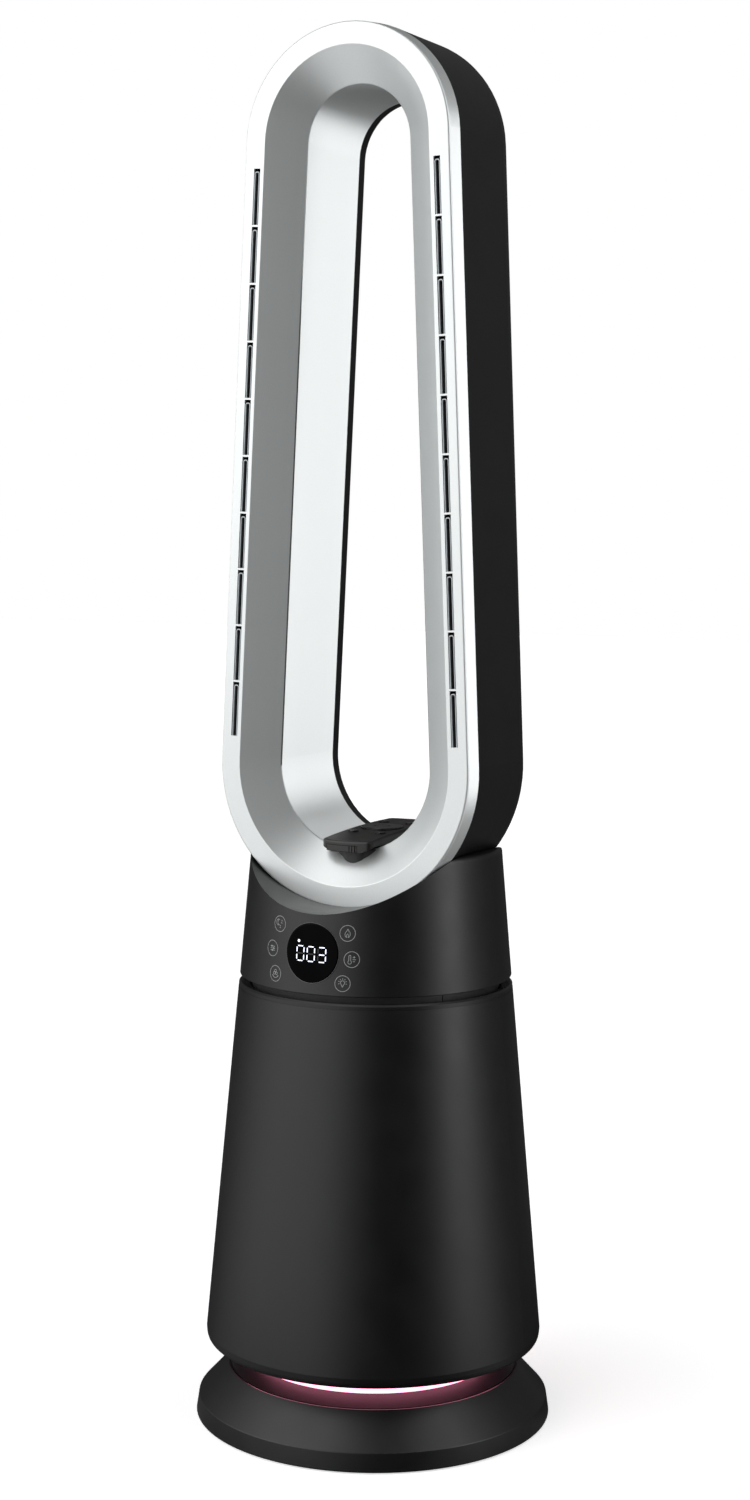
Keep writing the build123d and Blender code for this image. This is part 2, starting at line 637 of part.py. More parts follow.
def head_hub():
    """Turning tube of the neck: bearing flange, air duct and the skirt under the head."""
    skirt_in_r = SKIRT_R - HEAD_FLOOR_T
    flange_top = flange_z + HEAD_FLOOR_T
    return turned([
        (DUCT_R, duct_end_z), (duct_out_r, duct_end_z), (duct_out_r, flange_z), (SKIRT_R, flange_z),
        (SKIRT_R, head_floor_z), (skirt_in_r, head_floor_z), (skirt_in_r, flange_top),
        (duct_out_r, flange_top), (duct_out_r, head_z + DUCT_HEAD), (DUCT_R, head_z + DUCT_HEAD)])


def swivel_gear():
    """Ring gear fixed round the duct of the head."""
    return gear(GEAR_TEETH, duct_out_r, gear_z, gear_phase)


def swivel_retainer():
    """Snap ring under the gear that stops the head from lifting out."""
    return tube(duct_out_r, duct_out_r + RETAINER_T, gear_z - RETAINER_H, gear_z)


def pinion():
    """Drive pinion on the swivel motor's shaft."""
    return Pos(pinion_x, pinion_y, 0) * gear(PINION_TEETH, PINION_BORE_R, gear_z, pinion_phase)


gear_phase = PINION_ANGLE - 90.0
pinion_phase = PINION_ANGLE + 90.0 + 180.0 / PINION_TEETH
post_r = neck_ring_r - DECK_POST_IN
post_angles = (-82, 82)


def oscillation_motor():
    """Geared stepper motor that turns the head to and fro."""
    body = disc(OSC_MOTOR_R, bracket_z - OSC_MOTOR_H, bracket_z, pinion_x, pinion_y)
    collar_z = bracket_z + OSC_COLLAR_H
    body += disc(OSC_COLLAR_R, bracket_z - SHAFT_FIT, collar_z, pinion_x, pinion_y)
    body += disc(PINION_BORE_R - SHAFT_FIT, collar_z - SHAFT_FIT, gear_z + GEAR_H, pinion_x, pinion_y)
    return body


def oscillation_bracket():
    """Plate on two posts under the deck that holds the swivel motor."""
    plate_z = bracket_z + BRACKET_T
    plate = block(pinion_x - BRACKET_W / 2, pinion_x + BRACKET_W / 2, pinion_y - BRACKET_D / 2,
                  pinion_y + BRACKET_D / 2, bracket_z, plate_z)
    for x in (-BRACKET_POST_X, BRACKET_POST_X):
        plate += disc(BOARD_POST_R, bracket_z, deck_z, pinion_x + x, pinion_y - BRACKET_POST_Y)
    return plate - disc(OSC_COLLAR_R + 2 * SCREW_PLAY, bracket_z, plate_z, pinion_x, pinion_y)


# ---------------------------------------------------------------- blower
inlet_r = SHROUD_R - SHROUD_MOUTH
tip_r = SHROUD_R - SHROUD_T - IMPELLER_CLEARANCE
bucket_shoulder_z = bucket_z1 - BUCKET_SHOULDER


def blower_shroud():
    """Bell-mouthed duct round the impeller, hung from the deck on two lugs."""
    t = SHROUD_T
    mouth_r = inlet_r + SHROUD_FLARE
    bell_z, shoulder_z, blade_z = shroud_z + SHROUD_BELL_H, bucket_shoulder_z, impeller_z0 + IMPELLER_H / 3
    shell = turned([
        (mouth_r, shroud_z), (mouth_r + t, shroud_z + t / 2), (inlet_r + t, bell_z),
        (SHROUD_R, blade_z), (SHROUD_R, shoulder_z), (DUCT_R + t, shroud_neck_z),
        (DUCT_R + t, shroud_top_z), (DUCT_R, shroud_top_z), (DUCT_R, shroud_neck_z),
        (SHROUD_R - t, shoulder_z), (SHROUD_R - t, blade_z), (inlet_r, bell_z)])
    lug_z = bucket_shoulder_z - 2 * LUG_W
    for angle in post_angles:
        lug = block(-LUG_W / 2, LUG_W / 2, -post_r - LUG_POST_R, t / 2 - SHROUD_R, lug_z, lug_z + LUG_T)
        lug += disc(LUG_POST_R, lug_z, deck_z, 0, -post_r)
        lug -= disc(SCREW_R, deck_z - DECK_SCREW_L, deck_z, 0, -post_r)
        shell += Rot(0, 0, angle) * lug
    return shell


def deck_screws():
    """Two screws that hang the blower from the deck."""
    screws = []
    for angle in post_angles:
        x, y = on_circle(post_r, angle)
        shank = disc(SCREW_R, deck_z - DECK_SCREW_L, bearing_z, x, y)
        screws.append(shank + disc(DECK_SCREW_HEAD_R, bearing_z, bearing_z + DECK_SCREW_HEAD_H, x, y))
    return Compound(children=screws)


def motor_bucket():
    """Cup for the motor inside the shroud, carried by the stator vanes."""
    wall = BUCKET_WALL
    crown_r = BUCKET_R - 0.7 * BUCKET_SHOULDER
    floor_z = bucket_z0 + wall
    cup = turned([
        (BUCKET_HOLE_R, bucket_z0), (BUCKET_R, bucket_z0, wall / 2), (BUCKET_R, bucket_shoulder_z),
        (crown_r, bucket_z1), (0, bucket_z1), (0, bucket_z1 - wall), (crown_r - wall / 2, bucket_z1 - wall),
        (BUCKET_R - wall, bucket_shoulder_z - wall / 2), (BUCKET_R - wall, floor_z),
        (BUCKET_HOLE_R, floor_z)])
    vane_h = bucket_shoulder_z - floor_z
    reach = SHROUD_R - SHROUD_T - BUCKET_R
    for i in range(STATOR_VANES):
        vane = Pos(0, -(BUCKET_R + reach / 2), floor_z + vane_h / 2) * Rot(0, VANE_TILT, 0)
        vane = vane * Box(VANE_T, reach + 2 * wall, vane_h)
        vane &= tube(BUCKET_R - wall / 2, SHROUD_R - SHROUD_T, floor_z, bucket_shoulder_z)
        cup += Rot(0, 0, i * 360 / STATOR_VANES) * vane
    return cup


motor_z0 = bucket_z0 + MOTOR_LIFT
motor_z1 = motor_z0 + MOTOR_H


def motor():
    """Brushless motor can with its two bearing seats."""
    can = disc(MOTOR_R, motor_z0, motor_z1) - disc(SHAFT_R + BEARING_WALL, motor_z0, motor_z1)
    for i in range(MOTOR_VENTS):
        x, y = on_circle(0.7 * MOTOR_R, i * 360 / MOTOR_VENTS)
        can -= disc(MOTOR_VENT_R, motor_z1 - MOTOR_VENT_H, motor_z1, x, y)
    return can


def motor_mounts():
    """Two rubber rings that keep the motor's hum out of the housing."""
    outer_r = BUCKET_R - BUCKET_WALL
    lower_z = motor_z0 + MOUNT_H / 2
    upper_z = min(motor_z1, bucket_shoulder_z - BUCKET_WALL / 2) - MOUNT_H
    return Compound(children=[tube(MOTOR_R, outer_r, z, z + MOUNT_H) for z in (lower_z, upper_z)])


def motor_bearings():
    """Two bearings of the motor shaft."""
    places = (motor_z0, motor_z1 - MOTOR_BEARING_H)
    return Compound(children=[
        tube(SHAFT_R + SHAFT_FIT, SHAFT_R + BEARING_WALL, z, z + MOTOR_BEARING_H) for z in places])


hub_z = impeller_z0 + IMPELLER_H / 8


def motor_shaft():
    """Shaft that carries the impeller under the motor."""
    return disc(SHAFT_R, hub_z, motor_z1)


def impeller():
    """Mixed-flow impeller with a domed hub."""
    hub = turned([
        (SHAFT_R, hub_z), (HUB_NOSE_R, hub_z), (2 * HUB_NOSE_R, hub_z + IMPELLER_H / 4, HUB_R / 6),
        (HUB_R, impeller_z1 - IMPELLER_H / 10, HUB_R / 9), (HUB_R, impeller_z1), (SHAFT_R, impeller_z1)])
    eye_r = inlet_r - 3 * IMPELLER_CLEARANCE
    root_r = HUB_NOSE_R + BLADE_T
    trailing_z = impeller_z1 - BLADE_T
    envelope = turned([
        (root_r, impeller_z0 + 0.3 * IMPELLER_H), (eye_r, impeller_z0 + BLADE_T),
        (tip_r - BLADE_T, impeller_z0 + 0.4 * IMPELLER_H), (tip_r, impeller_z0 + 0.47 * IMPELLER_H),
        (tip_r, trailing_z), (root_r, trailing_z)])
    fan = hub
    for i in range(BLADES):
        blade = Pos(0, -(tip_r + root_r) / 2, (impeller_z0 + impeller_z1) / 2) * Rot(0, BLADE_TILT, 0)
        blade = blade * Box(BLADE_T, tip_r - root_r + 2 * BLADE_T, 2 * IMPELLER_H)
        fan += Rot(0, 0, i * 360 / BLADES) * (blade & envelope)
    return fan - disc(SHAFT_R, impeller_z0, impeller_z1)


# ---------------------------------------------------------------- head
def loop_recess():
    """Space of the loop's round bottom, with a fine joint round it."""
    corners = [
        (0, FRONT_Y - GAP), (LOOP_BOTTOM_R + GAP, FRONT_Y - GAP),
        (LOOP_BOTTOM_R + SEAM_FLARE + GAP, SEAM_Y),
        (LOOP_BOTTOM_R + BACK_FLARE + GAP, BACK_Y - BACK_CORNER_R),
        (LOOP_BOTTOM_R + BACK_FLARE + GAP, BACK_Y + GAP), (0, BACK_Y + GAP)]
    face = make_face(Polyline(*corners, close=True))
    return revolve(Pos(0, 0, loop_low_z) * face, Axis((0, 0, loop_low_z), (0, 1, 0)))


def head_housing():
    """Black head: tapered drum whose top is hollowed to cradle the loop."""
    outer = turned([
        (0, head_z), (head_r(head_z), head_z, HEAD_EDGE_R), (head_r(horn_z), horn_z, HORN_EDGE_R),
        (0, horn_z)])
    inner = turned([
        (0, head_z), (head_r(head_z) - WALL, head_z), (head_r(horn_z) - WALL, horn_z), (0, horn_z)])
    long = 3 * HEAD_BASE_R
    cradle = lying(cradle_r, -long, long, cradle_axis_z)
    inner -= lying(cradle_r + ROOF_T, -long, long, cradle_axis_z)
    housing = outer - cradle - inner - loop_recess()
    housing -= lying(LENS_R + LENS_EASE, -1.1 * HEAD_BASE_R, -HEAD_BASE_R / 2, lens_z)
    return housing - block(-NECK_W / 2 - RUN, NECK_W / 2 + RUN, -NECK_D / 2 - RUN, NECK_D / 2 + RUN,
                           head_z + CRADLE_Z / 2, horn_z)


def head_floor():
    """Plate that closes the head from below and rests on the hub's skirt."""
    return tube(duct_out_r, head_r(head_floor_z + HEAD_FLOOR_T) - WALL, head_floor_z,
                head_floor_z + HEAD_FLOOR_T)


def display_lens():
    """Round glossy window that follows the head's curve."""
    z0, z1 = head_z, horn_z
    shell = turned([
        (head_r(z0) - WALL, z0), (head_r(z0) + LENS_PROUD, z0),
        (head_r(z1) + LENS_PROUD, z1), (head_r(z1) - WALL, z1)])
    return shell & lying(LENS_R, -1.1 * HEAD_BASE_R, -HEAD_BASE_R / 2, lens_z)


board_y = PANEL_SET_BACK - HEAD_BASE_R


def display_board():
    """Segment display module right behind the window."""
    front = board_y - LENS_EASE
    return block(-DISPLAY_W / 2, DISPLAY_W / 2, front - DISPLAY_T, front, lens_z - DISPLAY_DOWN,
                 lens_z + DISPLAY_UP)


def touch_board():
    """Curved panel's touch board, a flat plate across the head."""
    return block(-TOUCH_W / 2, TOUCH_W / 2, board_y, board_y + BOARD_T, lens_z - TOUCH_DOWN,
                 lens_z + TOUCH_UP)


manifold_top_z = cradle_floor_z - 1.5 * ROOF_T


def air_manifold():
    """Drum between the duct and the loop's neck, with a rectangular outlet."""
    r, t = duct_out_r + INLET_EASE, MANIFOLD_T
    floor_z = head_floor_z + HEAD_FLOOR_T
    flange_r, flange_top = r + MANIFOLD_FLANGE_W, floor_z + MANIFOLD_FLANGE_H
    drum = turned([
        (r, floor_z), (flange_r, floor_z), (flange_r, flange_top), (r + t, flange_top),
        (r + t, manifold_top_z), (0, manifold_top_z), (0, manifold_top_z - t), (r, manifold_top_z - t)])
    return drum - block(-NECK_W / 2, NECK_W / 2, -NECK_D / 2, NECK_D / 2, head_z, horn_z)


def heater_element():
    """Ceramic heater with aluminium fins across the air stream."""
    z0 = head_z + HEATER_Z
    z1 = z0 + HEATER_H
    drum_r = duct_out_r + INLET_EASE
    core = block(-HEATER_W / 2, HEATER_W / 2, -HEATER_D / 2, HEATER_D / 2, z0, z1)
    for y in (-HEATER_D / 4, HEATER_D / 4):
        for i in range(HEATER_GAPS):
            x = HEATER_W * ((i + 1) / (HEATER_GAPS + 1) - 0.5)
            core -= block(x - HEATER_GAP_W / 2, x + HEATER_GAP_W / 2, y - HEATER_GAP_L / 2,
                          y + HEATER_GAP_L / 2, z0, z1)
    arm_z = (z0 + z1 - HEATER_ARM_H) / 2
    arms = block(-drum_r, drum_r, -HEATER_ARM_W / 2, HEATER_ARM_W / 2, arm_z, arm_z + HEATER_ARM_H)
    arms -= block(1 - HEATER_W / 2, HEATER_W / 2 - 1, -HEATER_ARM_W, HEATER_ARM_W, z0, z1)
    return (core + arms) & disc(drum_r, head_z, horn_z)


# ---------------------------------------------------------------- loop
def carry_round(face):
    """Carry a section round the tapered loop.

    The section is drawn with u outward from the front outline and v along +Y.
    The lower and upper arcs are turned, the two straight limbs are extruded.
    """
    taper = math.degrees(loop_taper)

    def placed(center_z, radius, angle):
        a = math.radians(angle)
        out = Vector(math.cos(a), 0, math.sin(a))
        plane = Plane(origin=Vector(0, 0, center_z) + out * radius, x_dir=out,
                      z_dir=(-math.sin(a), 0, math.cos(a)))
        return plane.location * face

    low = revolve(placed(loop_low_z, LOOP_BOTTOM_R, 180 - taper), Axis((0, 0, loop_low_z), (0, -1, 0)),
                  180 + 2 * taper)
    high = revolve(placed(loop_high_z, LOOP_TOP_R, taper), Axis((0, 0, loop_high_z), (0, -1, 0)),
                   180 - 2 * taper)
    along = Vector(-math.sin(loop_taper), 0, math.cos(loop_taper))
    limb = loop_span * math.cos(loop_taper)
    right = extrude(placed(loop_low_z, LOOP_BOTTOM_R, taper), amount=limb, dir=along)
    return low + right + high + mirror(right, about=Plane.YZ)


def loop_corners(inset):
    """Corners of the loop's section, the whole section drawn in by a wall."""
    throat = -THROAT_INSET + inset
    lean = (THROAT_INSET - BAND_W) / (CHAMFER_Y - FRONT_Y)
    shift = inset * (math.hypot(1, lean) - lean)
    front_v = FRONT_Y + inset
    return [
        (-inset, front_v, max(BAND_EDGE_R - inset, 0)),
        (SEAM_FLARE - inset, SEAM_Y, 0),
        (BACK_FLARE - inset, BACK_Y - BACK_CORNER_R - 4, 0),
        (BACK_FLARE - inset, BACK_Y - inset, BACK_CORNER_R - inset),
        (throat, BACK_Y - inset, max(THROAT_EDGE_R - inset, 0)),
        (throat, CHAMFER_Y + shift / lean, CHAMFER_EDGE_R),
        (-BAND_W - shift + inset * lean, front_v, BAND_INNER_R)]


def loop_wall():
    """Hollow section of the whole loop."""
    return rounded_face(loop_corners(0)) - rounded_face(loop_corners(LOOP_WALL))


split_u = -THROAT_INSET / 2


def loop_front_frame():
    """Silver front: short side strip, slotted band, chamfer and throat."""
    reach = 3 * THROAT_INSET
    region = make_face(Polyline(
        (reach, FRONT_Y - reach), (reach, SEAM_Y), (split_u, SEAM_Y), (split_u, THROAT_END_Y),
        (-reach, THROAT_END_Y), (-reach, FRONT_Y - reach), close=True))
    frame = carry_round(loop_wall() & region)
    return frame - slot_places(Box(SLOT_W, 4 * LOOP_WALL, SLOT_L))


def loop_rear_shell():
    """Black shell: outer side, rounded back and the rim of the throat."""
    reach = 3 * THROAT_INSET
    region = make_face(Polyline(
        (reach, SEAM_Y), (reach, BACK_Y + reach), (-reach, BACK_Y + reach), (-reach, THROAT_END_Y),
        (split_u, THROAT_END_Y), (split_u, SEAM_Y), close=True))
    shell = carry_round(loop_wall() & region)
    return shell - block(-NECK_W / 2 - RUN, NECK_W / 2 + RUN, -NECK_D / 2 - RUN, NECK_D / 2 + RUN,
                         head_z, loop_bottom_z + THROAT_INSET / 2)


def loop_seal():
    """Soft strip inside the seam between the front frame and the rear shell."""
    u = SEAM_FLARE - LOOP_WALL - SEAL_EASE
    face = Pos(u - SEAL_W / 2, SEAM_Y) * Rectangle(SEAL_W, SEAL_H)
    return carry_round(face)


def slot_places(shape):
    """Copies of a shape at every air slot of the front band, tilted with the limbs."""
    shapes = []
    for side in (1, -1):
        for i in range(SLOTS_PER_SIDE):
            along = SLOT_FIRST_Z + SLOT_L / 2 + i * (SLOT_L + SLOT_BAR)
            out = LOOP_BOTTOM_R - SLOT_INSET
            x = out * math.cos(loop_taper) - along * math.sin(loop_taper)
            z = loop_low_z + out * math.sin(loop_taper) + along * math.cos(loop_taper)
            tilt = -side * math.degrees(loop_taper)
            shapes.append(Pos(side * x, FRONT_Y + LOOP_WALL / 2, z) * Rot(0, tilt, 0) * shape)
    return shapes


def slot_inserts():
    """Twenty bevelled frames, one in each air slot."""
    depth = LOOP_WALL
    frame = Box(SLOT_W, depth, SLOT_L) - Box(SLOT_W - 2 * SLOT_FRAME_T, depth, SLOT_L - 2 * SLOT_FRAME_T)
    return Compound(children=slot_places(frame))


def loop_neck():
    """Rectangular tube from the manifold into the loop."""
    z0, z1 = manifold_top_z - MANIFOLD_T, loop_bottom_z + NECK_REACH
    half_w, half_d = NECK_W / 2, NECK_D / 2
    neck = block(-half_w, half_w, -half_d, half_d, z0, z1)
    return neck - block(NECK_WALL - half_w, half_w - NECK_WALL, NECK_WALL - half_d, half_d - NECK_WALL,
                        z0, z1)


# ---------------------------------------------------------------- remote control
magnet_z = dock_top_z - MAGNET_SKIN - MAGNET_EASE - MAGNET_T
throat_r = LOOP_BOTTOM_R - THROAT_INSET
chin_z = remote_z - REMOTE_CHIN_H
chin_y = REMOTE_FRONT_Y + REMOTE_CHIN_D


def remote_dock():
    """Round magnetic rest at the bottom of the throat, with an apron over the chamfer."""
    foot_z = loop_bottom_z + BAND_W
    puck = disc(DOCK_R, foot_z, dock_top_z, DOCK_X, DOCK_Y)
    apron = lying(APRON_R, APRON_Y, DOCK_Y, dock_top_z - APRON_H + APRON_R, DOCK_X)
    apron &= disc(APRON_BOW_R, foot_z, dock_top_z, DOCK_X, APRON_Y + APRON_BOW_R)
    dock = (puck + apron) & (lying(throat_r, CHAMFER_Y, BACK_Y, loop_low_z) + chamfer_mouth())
    return dock - disc(MAGNET_R + 2 * MAGNET_EASE, magnet_z - MAGNET_EASE, dock_top_z - MAGNET_SKIN,
                       0, DOCK_Y)


def chamfer_mouth():
    """Open space in front of the chamfer, as a cone along Y."""
    face = make_face(Polyline(
        (0, CHAMFER_Y + MAGNET_EASE), (throat_r, CHAMFER_Y + MAGNET_EASE), (throat_r, CHAMFER_Y),
        (LOOP_BOTTOM_R - BAND_W, FRONT_Y), (0, FRONT_Y), close=True))
    return revolve(Pos(0, 0, loop_low_z) * face, Axis((0, 0, loop_low_z), (0, 1, 0)))


def dock_magnet():
    """Magnet inside the dock."""
    return disc(MAGNET_R, magnet_z, magnet_z + MAGNET_T, 0, DOCK_Y)


def circle_through(a, b, c):
    """Centre and radius of the circle through three points."""
    (ax, ay), (bx, by), (cx, cy) = a, b, c
    d = 2 * (ax * (by - cy) + bx * (cy - ay) + cx * (ay - by))
    a2, b2, c2 = ax * ax + ay * ay, bx * bx + by * by, cx * cx + cy * cy
    x = (a2 * (by - cy) + b2 * (cy - ay) + c2 * (ay - by)) / d
    y = (a2 * (cx - bx) + b2 * (ax - cx) + c2 * (bx - ax)) / d
    return x, y, math.hypot(ax - x, ay - y)


crown_y, crown_z, crown_r = circle_through(
    (REMOTE_FRONT_Y, remote_z + REMOTE_NOSE_H), (REMOTE_FRONT_Y + REMOTE_L / 2, remote_z + REMOTE_CROWN_H),
    (remote_end_y, remote_z + REMOTE_TAIL_H))


def remote_top_z(y, inset=0.0):
    """Height of the remote's crowned top, or of its hollow's, at a place along it."""
    return crown_z + math.sqrt((crown_r - inset) ** 2 - (y - crown_y) ** 2)


def remote_plan(inset, z):
    """The remote's outline from above with bowed ends, pulled up from a height."""
    w, y0, y1 = REMOTE_W / 2 - inset, REMOTE_FRONT_Y + inset, remote_end_y - inset
    nose = ThreePointArc((-w, y0 + REMOTE_BOW), (0, y0), (w, y0 + REMOTE_BOW))
    tail = ThreePointArc((w, y1 - REMOTE_BOW), (0, y1), (-w, y1 - REMOTE_BOW))
    face = make_face([nose, Line(nose.position_at(1), tail.position_at(0)),
                      tail, Line(tail.position_at(1), nose.position_at(0))])
    face = fillet(face.vertices(), REMOTE_CORNER_R - inset / 2)
    return Pos(0, 0, z) * extrude(face, 2 * REMOTE_CROWN_H)


def remote_keel(inset, half, z, side_z):
    """Long bar with a flat underside of a half width and slanted lower sides."""
    w, tall = REMOTE_W / 2 - inset, remote_z + 2 * REMOTE_CROWN_H
    section = make_face(Polyline(
        (half, z), (w, side_z), (w, tall), (-w, tall), (-w, side_z), (-half, z), close=True))
    margin = REMOTE_CORNER_R
    return extrude(Pos(0, remote_end_y + margin, 0) * Plane.XZ.location * section,
                   amount=REMOTE_L + 2 * margin)


def remote_block(inset):
    """The remote's outer form without its chin, or its hollow where inset is the wall."""
    z0 = remote_z + inset
    y0, y1 = REMOTE_FRONT_Y - REMOTE_BOW, remote_end_y + REMOTE_BOW
    start, middle, end = [(y, remote_top_z(y, inset)) for y in (y0, (y0 + y1) / 2, y1)]
    side = make_face([ThreePointArc(start, middle, end), Line(end, (y1, z0)), Line((y1, z0), (y0, z0)),
                      Line((y0, z0), start)])
    body = extrude(Plane.YZ.location * side, amount=REMOTE_W, both=True)
    body &= remote_plan(inset, z0)
    if inset < REMOTE_EDGE_R / 2:
        body = fillet(body.faces().sort_by(Axis.Z)[-1].edges(), REMOTE_EDGE_R)
    return body & remote_keel(inset, REMOTE_KEEL_W / 2 - inset, z0, remote_z + REMOTE_KEEL_H)


def remote_chin():
    """Lip under the nose that closes the view of the dock from the front."""
    chin = remote_plan(0, chin_z) & remote_keel(0, REMOTE_CHIN_W / 2, chin_z, remote_z + REMOTE_CHIN_SIDE)
    return chin & block(-REMOTE_W, REMOTE_W, 2 * REMOTE_FRONT_Y, chin_y, chin_z, split_z)


split_z = remote_z + REMOTE_SPLIT_H
ring_y = REMOTE_FRONT_Y + RING_PAD_Y
board_z = split_z + MAGNET_EASE
board_top_z = board_z + REMOTE_BOARD_T
tray_x0, tray_x1 = TRAY_X - TRAY_W / 2, TRAY_X + TRAY_W / 2
cell_y = REMOTE_FRONT_Y + CELL_R + CELL_MARGIN
tray_y1 = cell_y + CELL_R + CELL_MARGIN
tray_z0 = remote_z + TRAY_BOTTOM
tray_face_z = chin_z + TRAY_BOTTOM
small_buttons = {
    "remote_button_front_left": (-SMALL_BUTTON_X, ring_y - SMALL_BUTTON_DY),
    "remote_button_front_right": (SMALL_BUTTON_X, ring_y - SMALL_BUTTON_DY),
    "remote_button_back_left": (-SMALL_BUTTON_X, ring_y + SMALL_BUTTON_DY),
    "remote_button_back_right": (SMALL_BUTTON_X, ring_y + SMALL_BUTTON_DY)}


def remote_upper_shell():
    """Upper half of the remote with holes for its buttons."""
    tall = remote_z + 3 * REMOTE_CROWN_H
    shell = remote_block(0) - remote_block(REMOTE_WALL)
    shell &= block(-REMOTE_W, REMOTE_W, 2 * REMOTE_FRONT_Y, 2 * remote_end_y, split_z, tall)
    shell -= disc(RING_PAD_R + RUN, split_z, tall, 0, ring_y)
    for x, y in small_buttons.values():
        shell -= disc(SMALL_BUTTON_R + RUN, split_z, tall, x, y)
    return shell


def tray_space():
    """Slot for the battery tray in the nose of the lower half."""
    space = block(tray_x0 - RUN, tray_x1 + RUN, REMOTE_FRONT_Y - REMOTE_WALL, tray_y1 + RUN,
                  tray_z0 - RUN, tray_z0 + TRAY_H + RUN)
    return space + block(tray_x0 - RUN, tray_x1 + RUN, REMOTE_FRONT_Y - REMOTE_WALL,
                         REMOTE_FRONT_Y + TRAY_FACE_T + RUN, tray_face_z - RUN, split_z)


def remote_lower_shell():
    """Lower half of the remote, with the chin under its nose."""
    shell = remote_block(0) - remote_block(REMOTE_WALL)
    shell &= block(-REMOTE_W, REMOTE_W, 2 * REMOTE_FRONT_Y, 2 * remote_end_y, remote_z, split_z)
    return shell + remote_chin() - tray_space()


def remote_board():
    """Circuit board that the buttons press on."""
    half = REMOTE_W / 2 - REMOTE_WALL - RUN
    return block(-half, half, tray_y1 + CELL_MARGIN, remote_end_y - REMOTE_WALL - REMOTE_BOARD_END,
                 board_z, board_top_z)


def remote_battery_tray():
    """Tray that pulls the coin cell out of the nose, with three grip ribs on its face."""
    nose_y = REMOTE_FRONT_Y - REMOTE_BOW
    tray = block(tray_x0, tray_x1, nose_y, tray_y1, tray_z0, tray_z0 + TRAY_H)
    tray += block(tray_x0, tray_x1, nose_y, REMOTE_FRONT_Y + TRAY_FACE_T, tray_face_z, split_z - RUN)
    tray &= remote_plan(0, chin_z)
    tray -= disc(CELL_R + CELL_EASE, tray_z0 + TRAY_FLOOR, split_z, TRAY_X, cell_y)
    for i in range(RIBS):
        x = tray_x1 - RIB_STEP * (i + 0.9)
        tray += block(x - RIB_W / 2, x + RIB_W / 2, REMOTE_FRONT_Y - RIB_PROUD,
                      REMOTE_FRONT_Y + TRAY_FACE_T, tray_face_z, split_z - RUN)
    return tray


def coin_cell():
    """Lithium coin cell in the tray."""
    return disc(CELL_R, tray_z0 + TRAY_FLOOR, tray_z0 + TRAY_FLOOR + CELL_H, TRAY_X, cell_y)


def button(r, x, y, hole_r=0.0):
    """Round key that stands proud of the remote's top and stops short of the board."""
    top = remote_top_z(y) + BUTTON_PROUD
    bottom = board_top_z + BUTTON_TRAVEL + BUTTON_GAP
    key = disc(r, bottom, top, x, y)
    key = chamfer(key.edges().group_by(Axis.Z)[-1], BUTTON_EDGE)
    if hole_r > 0:
        key -= disc(hole_r, bottom, top, x, y)
    return key


# ---------------------------------------------------------------- write one file for each piece
pieces = {
    "foot_shell": foot_shell, "base_plate": base_plate, "ballast_ring": ballast_ring,
    "rubber_feet": rubber_feet, "foot_screws": foot_screws, "pedestal": pedestal,
    "light_board": light_board, "light_ring": light_ring, "cord_inlet": cord_inlet,
    "lower_housing": lower_housing, "lower_floor": lower_floor, "power_board": power_board,
    "cap_ring": cap_ring, "rear_cover": rear_cover, "filter_frame": filter_frame,
    "filter_media": filter_media, "swivel_deck": swivel_deck, "bearing_ring": bearing_ring,
    "neck_ring": neck_ring, "deck_screws": deck_screws, "blower_shroud": blower_shroud,
    "motor_bucket": motor_bucket, "motor": motor, "motor_mounts": motor_mounts,
    "motor_bearings": motor_bearings, "motor_shaft": motor_shaft, "impeller": impeller,
    "oscillation_motor": oscillation_motor, "oscillation_bracket": oscillation_bracket, "pinion": pinion,
    "head_hub": head_hub, "swivel_gear": swivel_gear, "swivel_retainer": swivel_retainer,
    "head_floor": head_floor, "head_housing": head_housing, "display_lens": display_lens,
    "display_board": display_board, "touch_board": touch_board, "air_manifold": air_manifold,
    "heater_element": heater_element, "loop_front_frame": loop_front_frame,
    "loop_rear_shell": loop_rear_shell, "loop_seal": loop_seal, "slot_inserts": slot_inserts,
    "loop_neck": loop_neck, "remote_dock": remote_dock, "dock_magnet": dock_magnet,
    "remote_upper_shell": remote_upper_shell, "remote_lower_shell": remote_lower_shell,
    "remote_board": remote_board, "remote_battery_tray": remote_battery_tray, "coin_cell": coin_cell,
    "remote_ring_pad": lambda: button(RING_PAD_R, 0, ring_y, RING_PAD_HOLE_R),
    "remote_center_button": lambda: button(CENTER_BUTTON_R, 0, ring_y)}
for name, (bx, by) in small_buttons.items():
    pieces[name] = lambda x=bx, y=by: button(SMALL_BUTTON_R, x, y)

os.makedirs("parts", exist_ok=True)
for name, make in pieces.items():
    export_step(make(), f"parts/{name}.step")
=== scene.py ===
# %% [markdown]
# # A bladeless tower fan, dressed for a studio picture
#
# The imported model brings every piece of the fan at its real size: the lit foot, the tapered drum,
# the head with its display, and the tall air loop with a remote control lying in it. This lesson
# gives each piece its finish and adds what is finer than the model: the air slots' frames, a painted
# dark reflection along the throat's rounded edge, the display's window with its lit digits, and the
# printed signs. Lengths are metres, +Z is up and the display faces -Y.

# %% Load the frame
import json
import math

import bpy
import numpy as np
from mathutils import Matrix, Vector


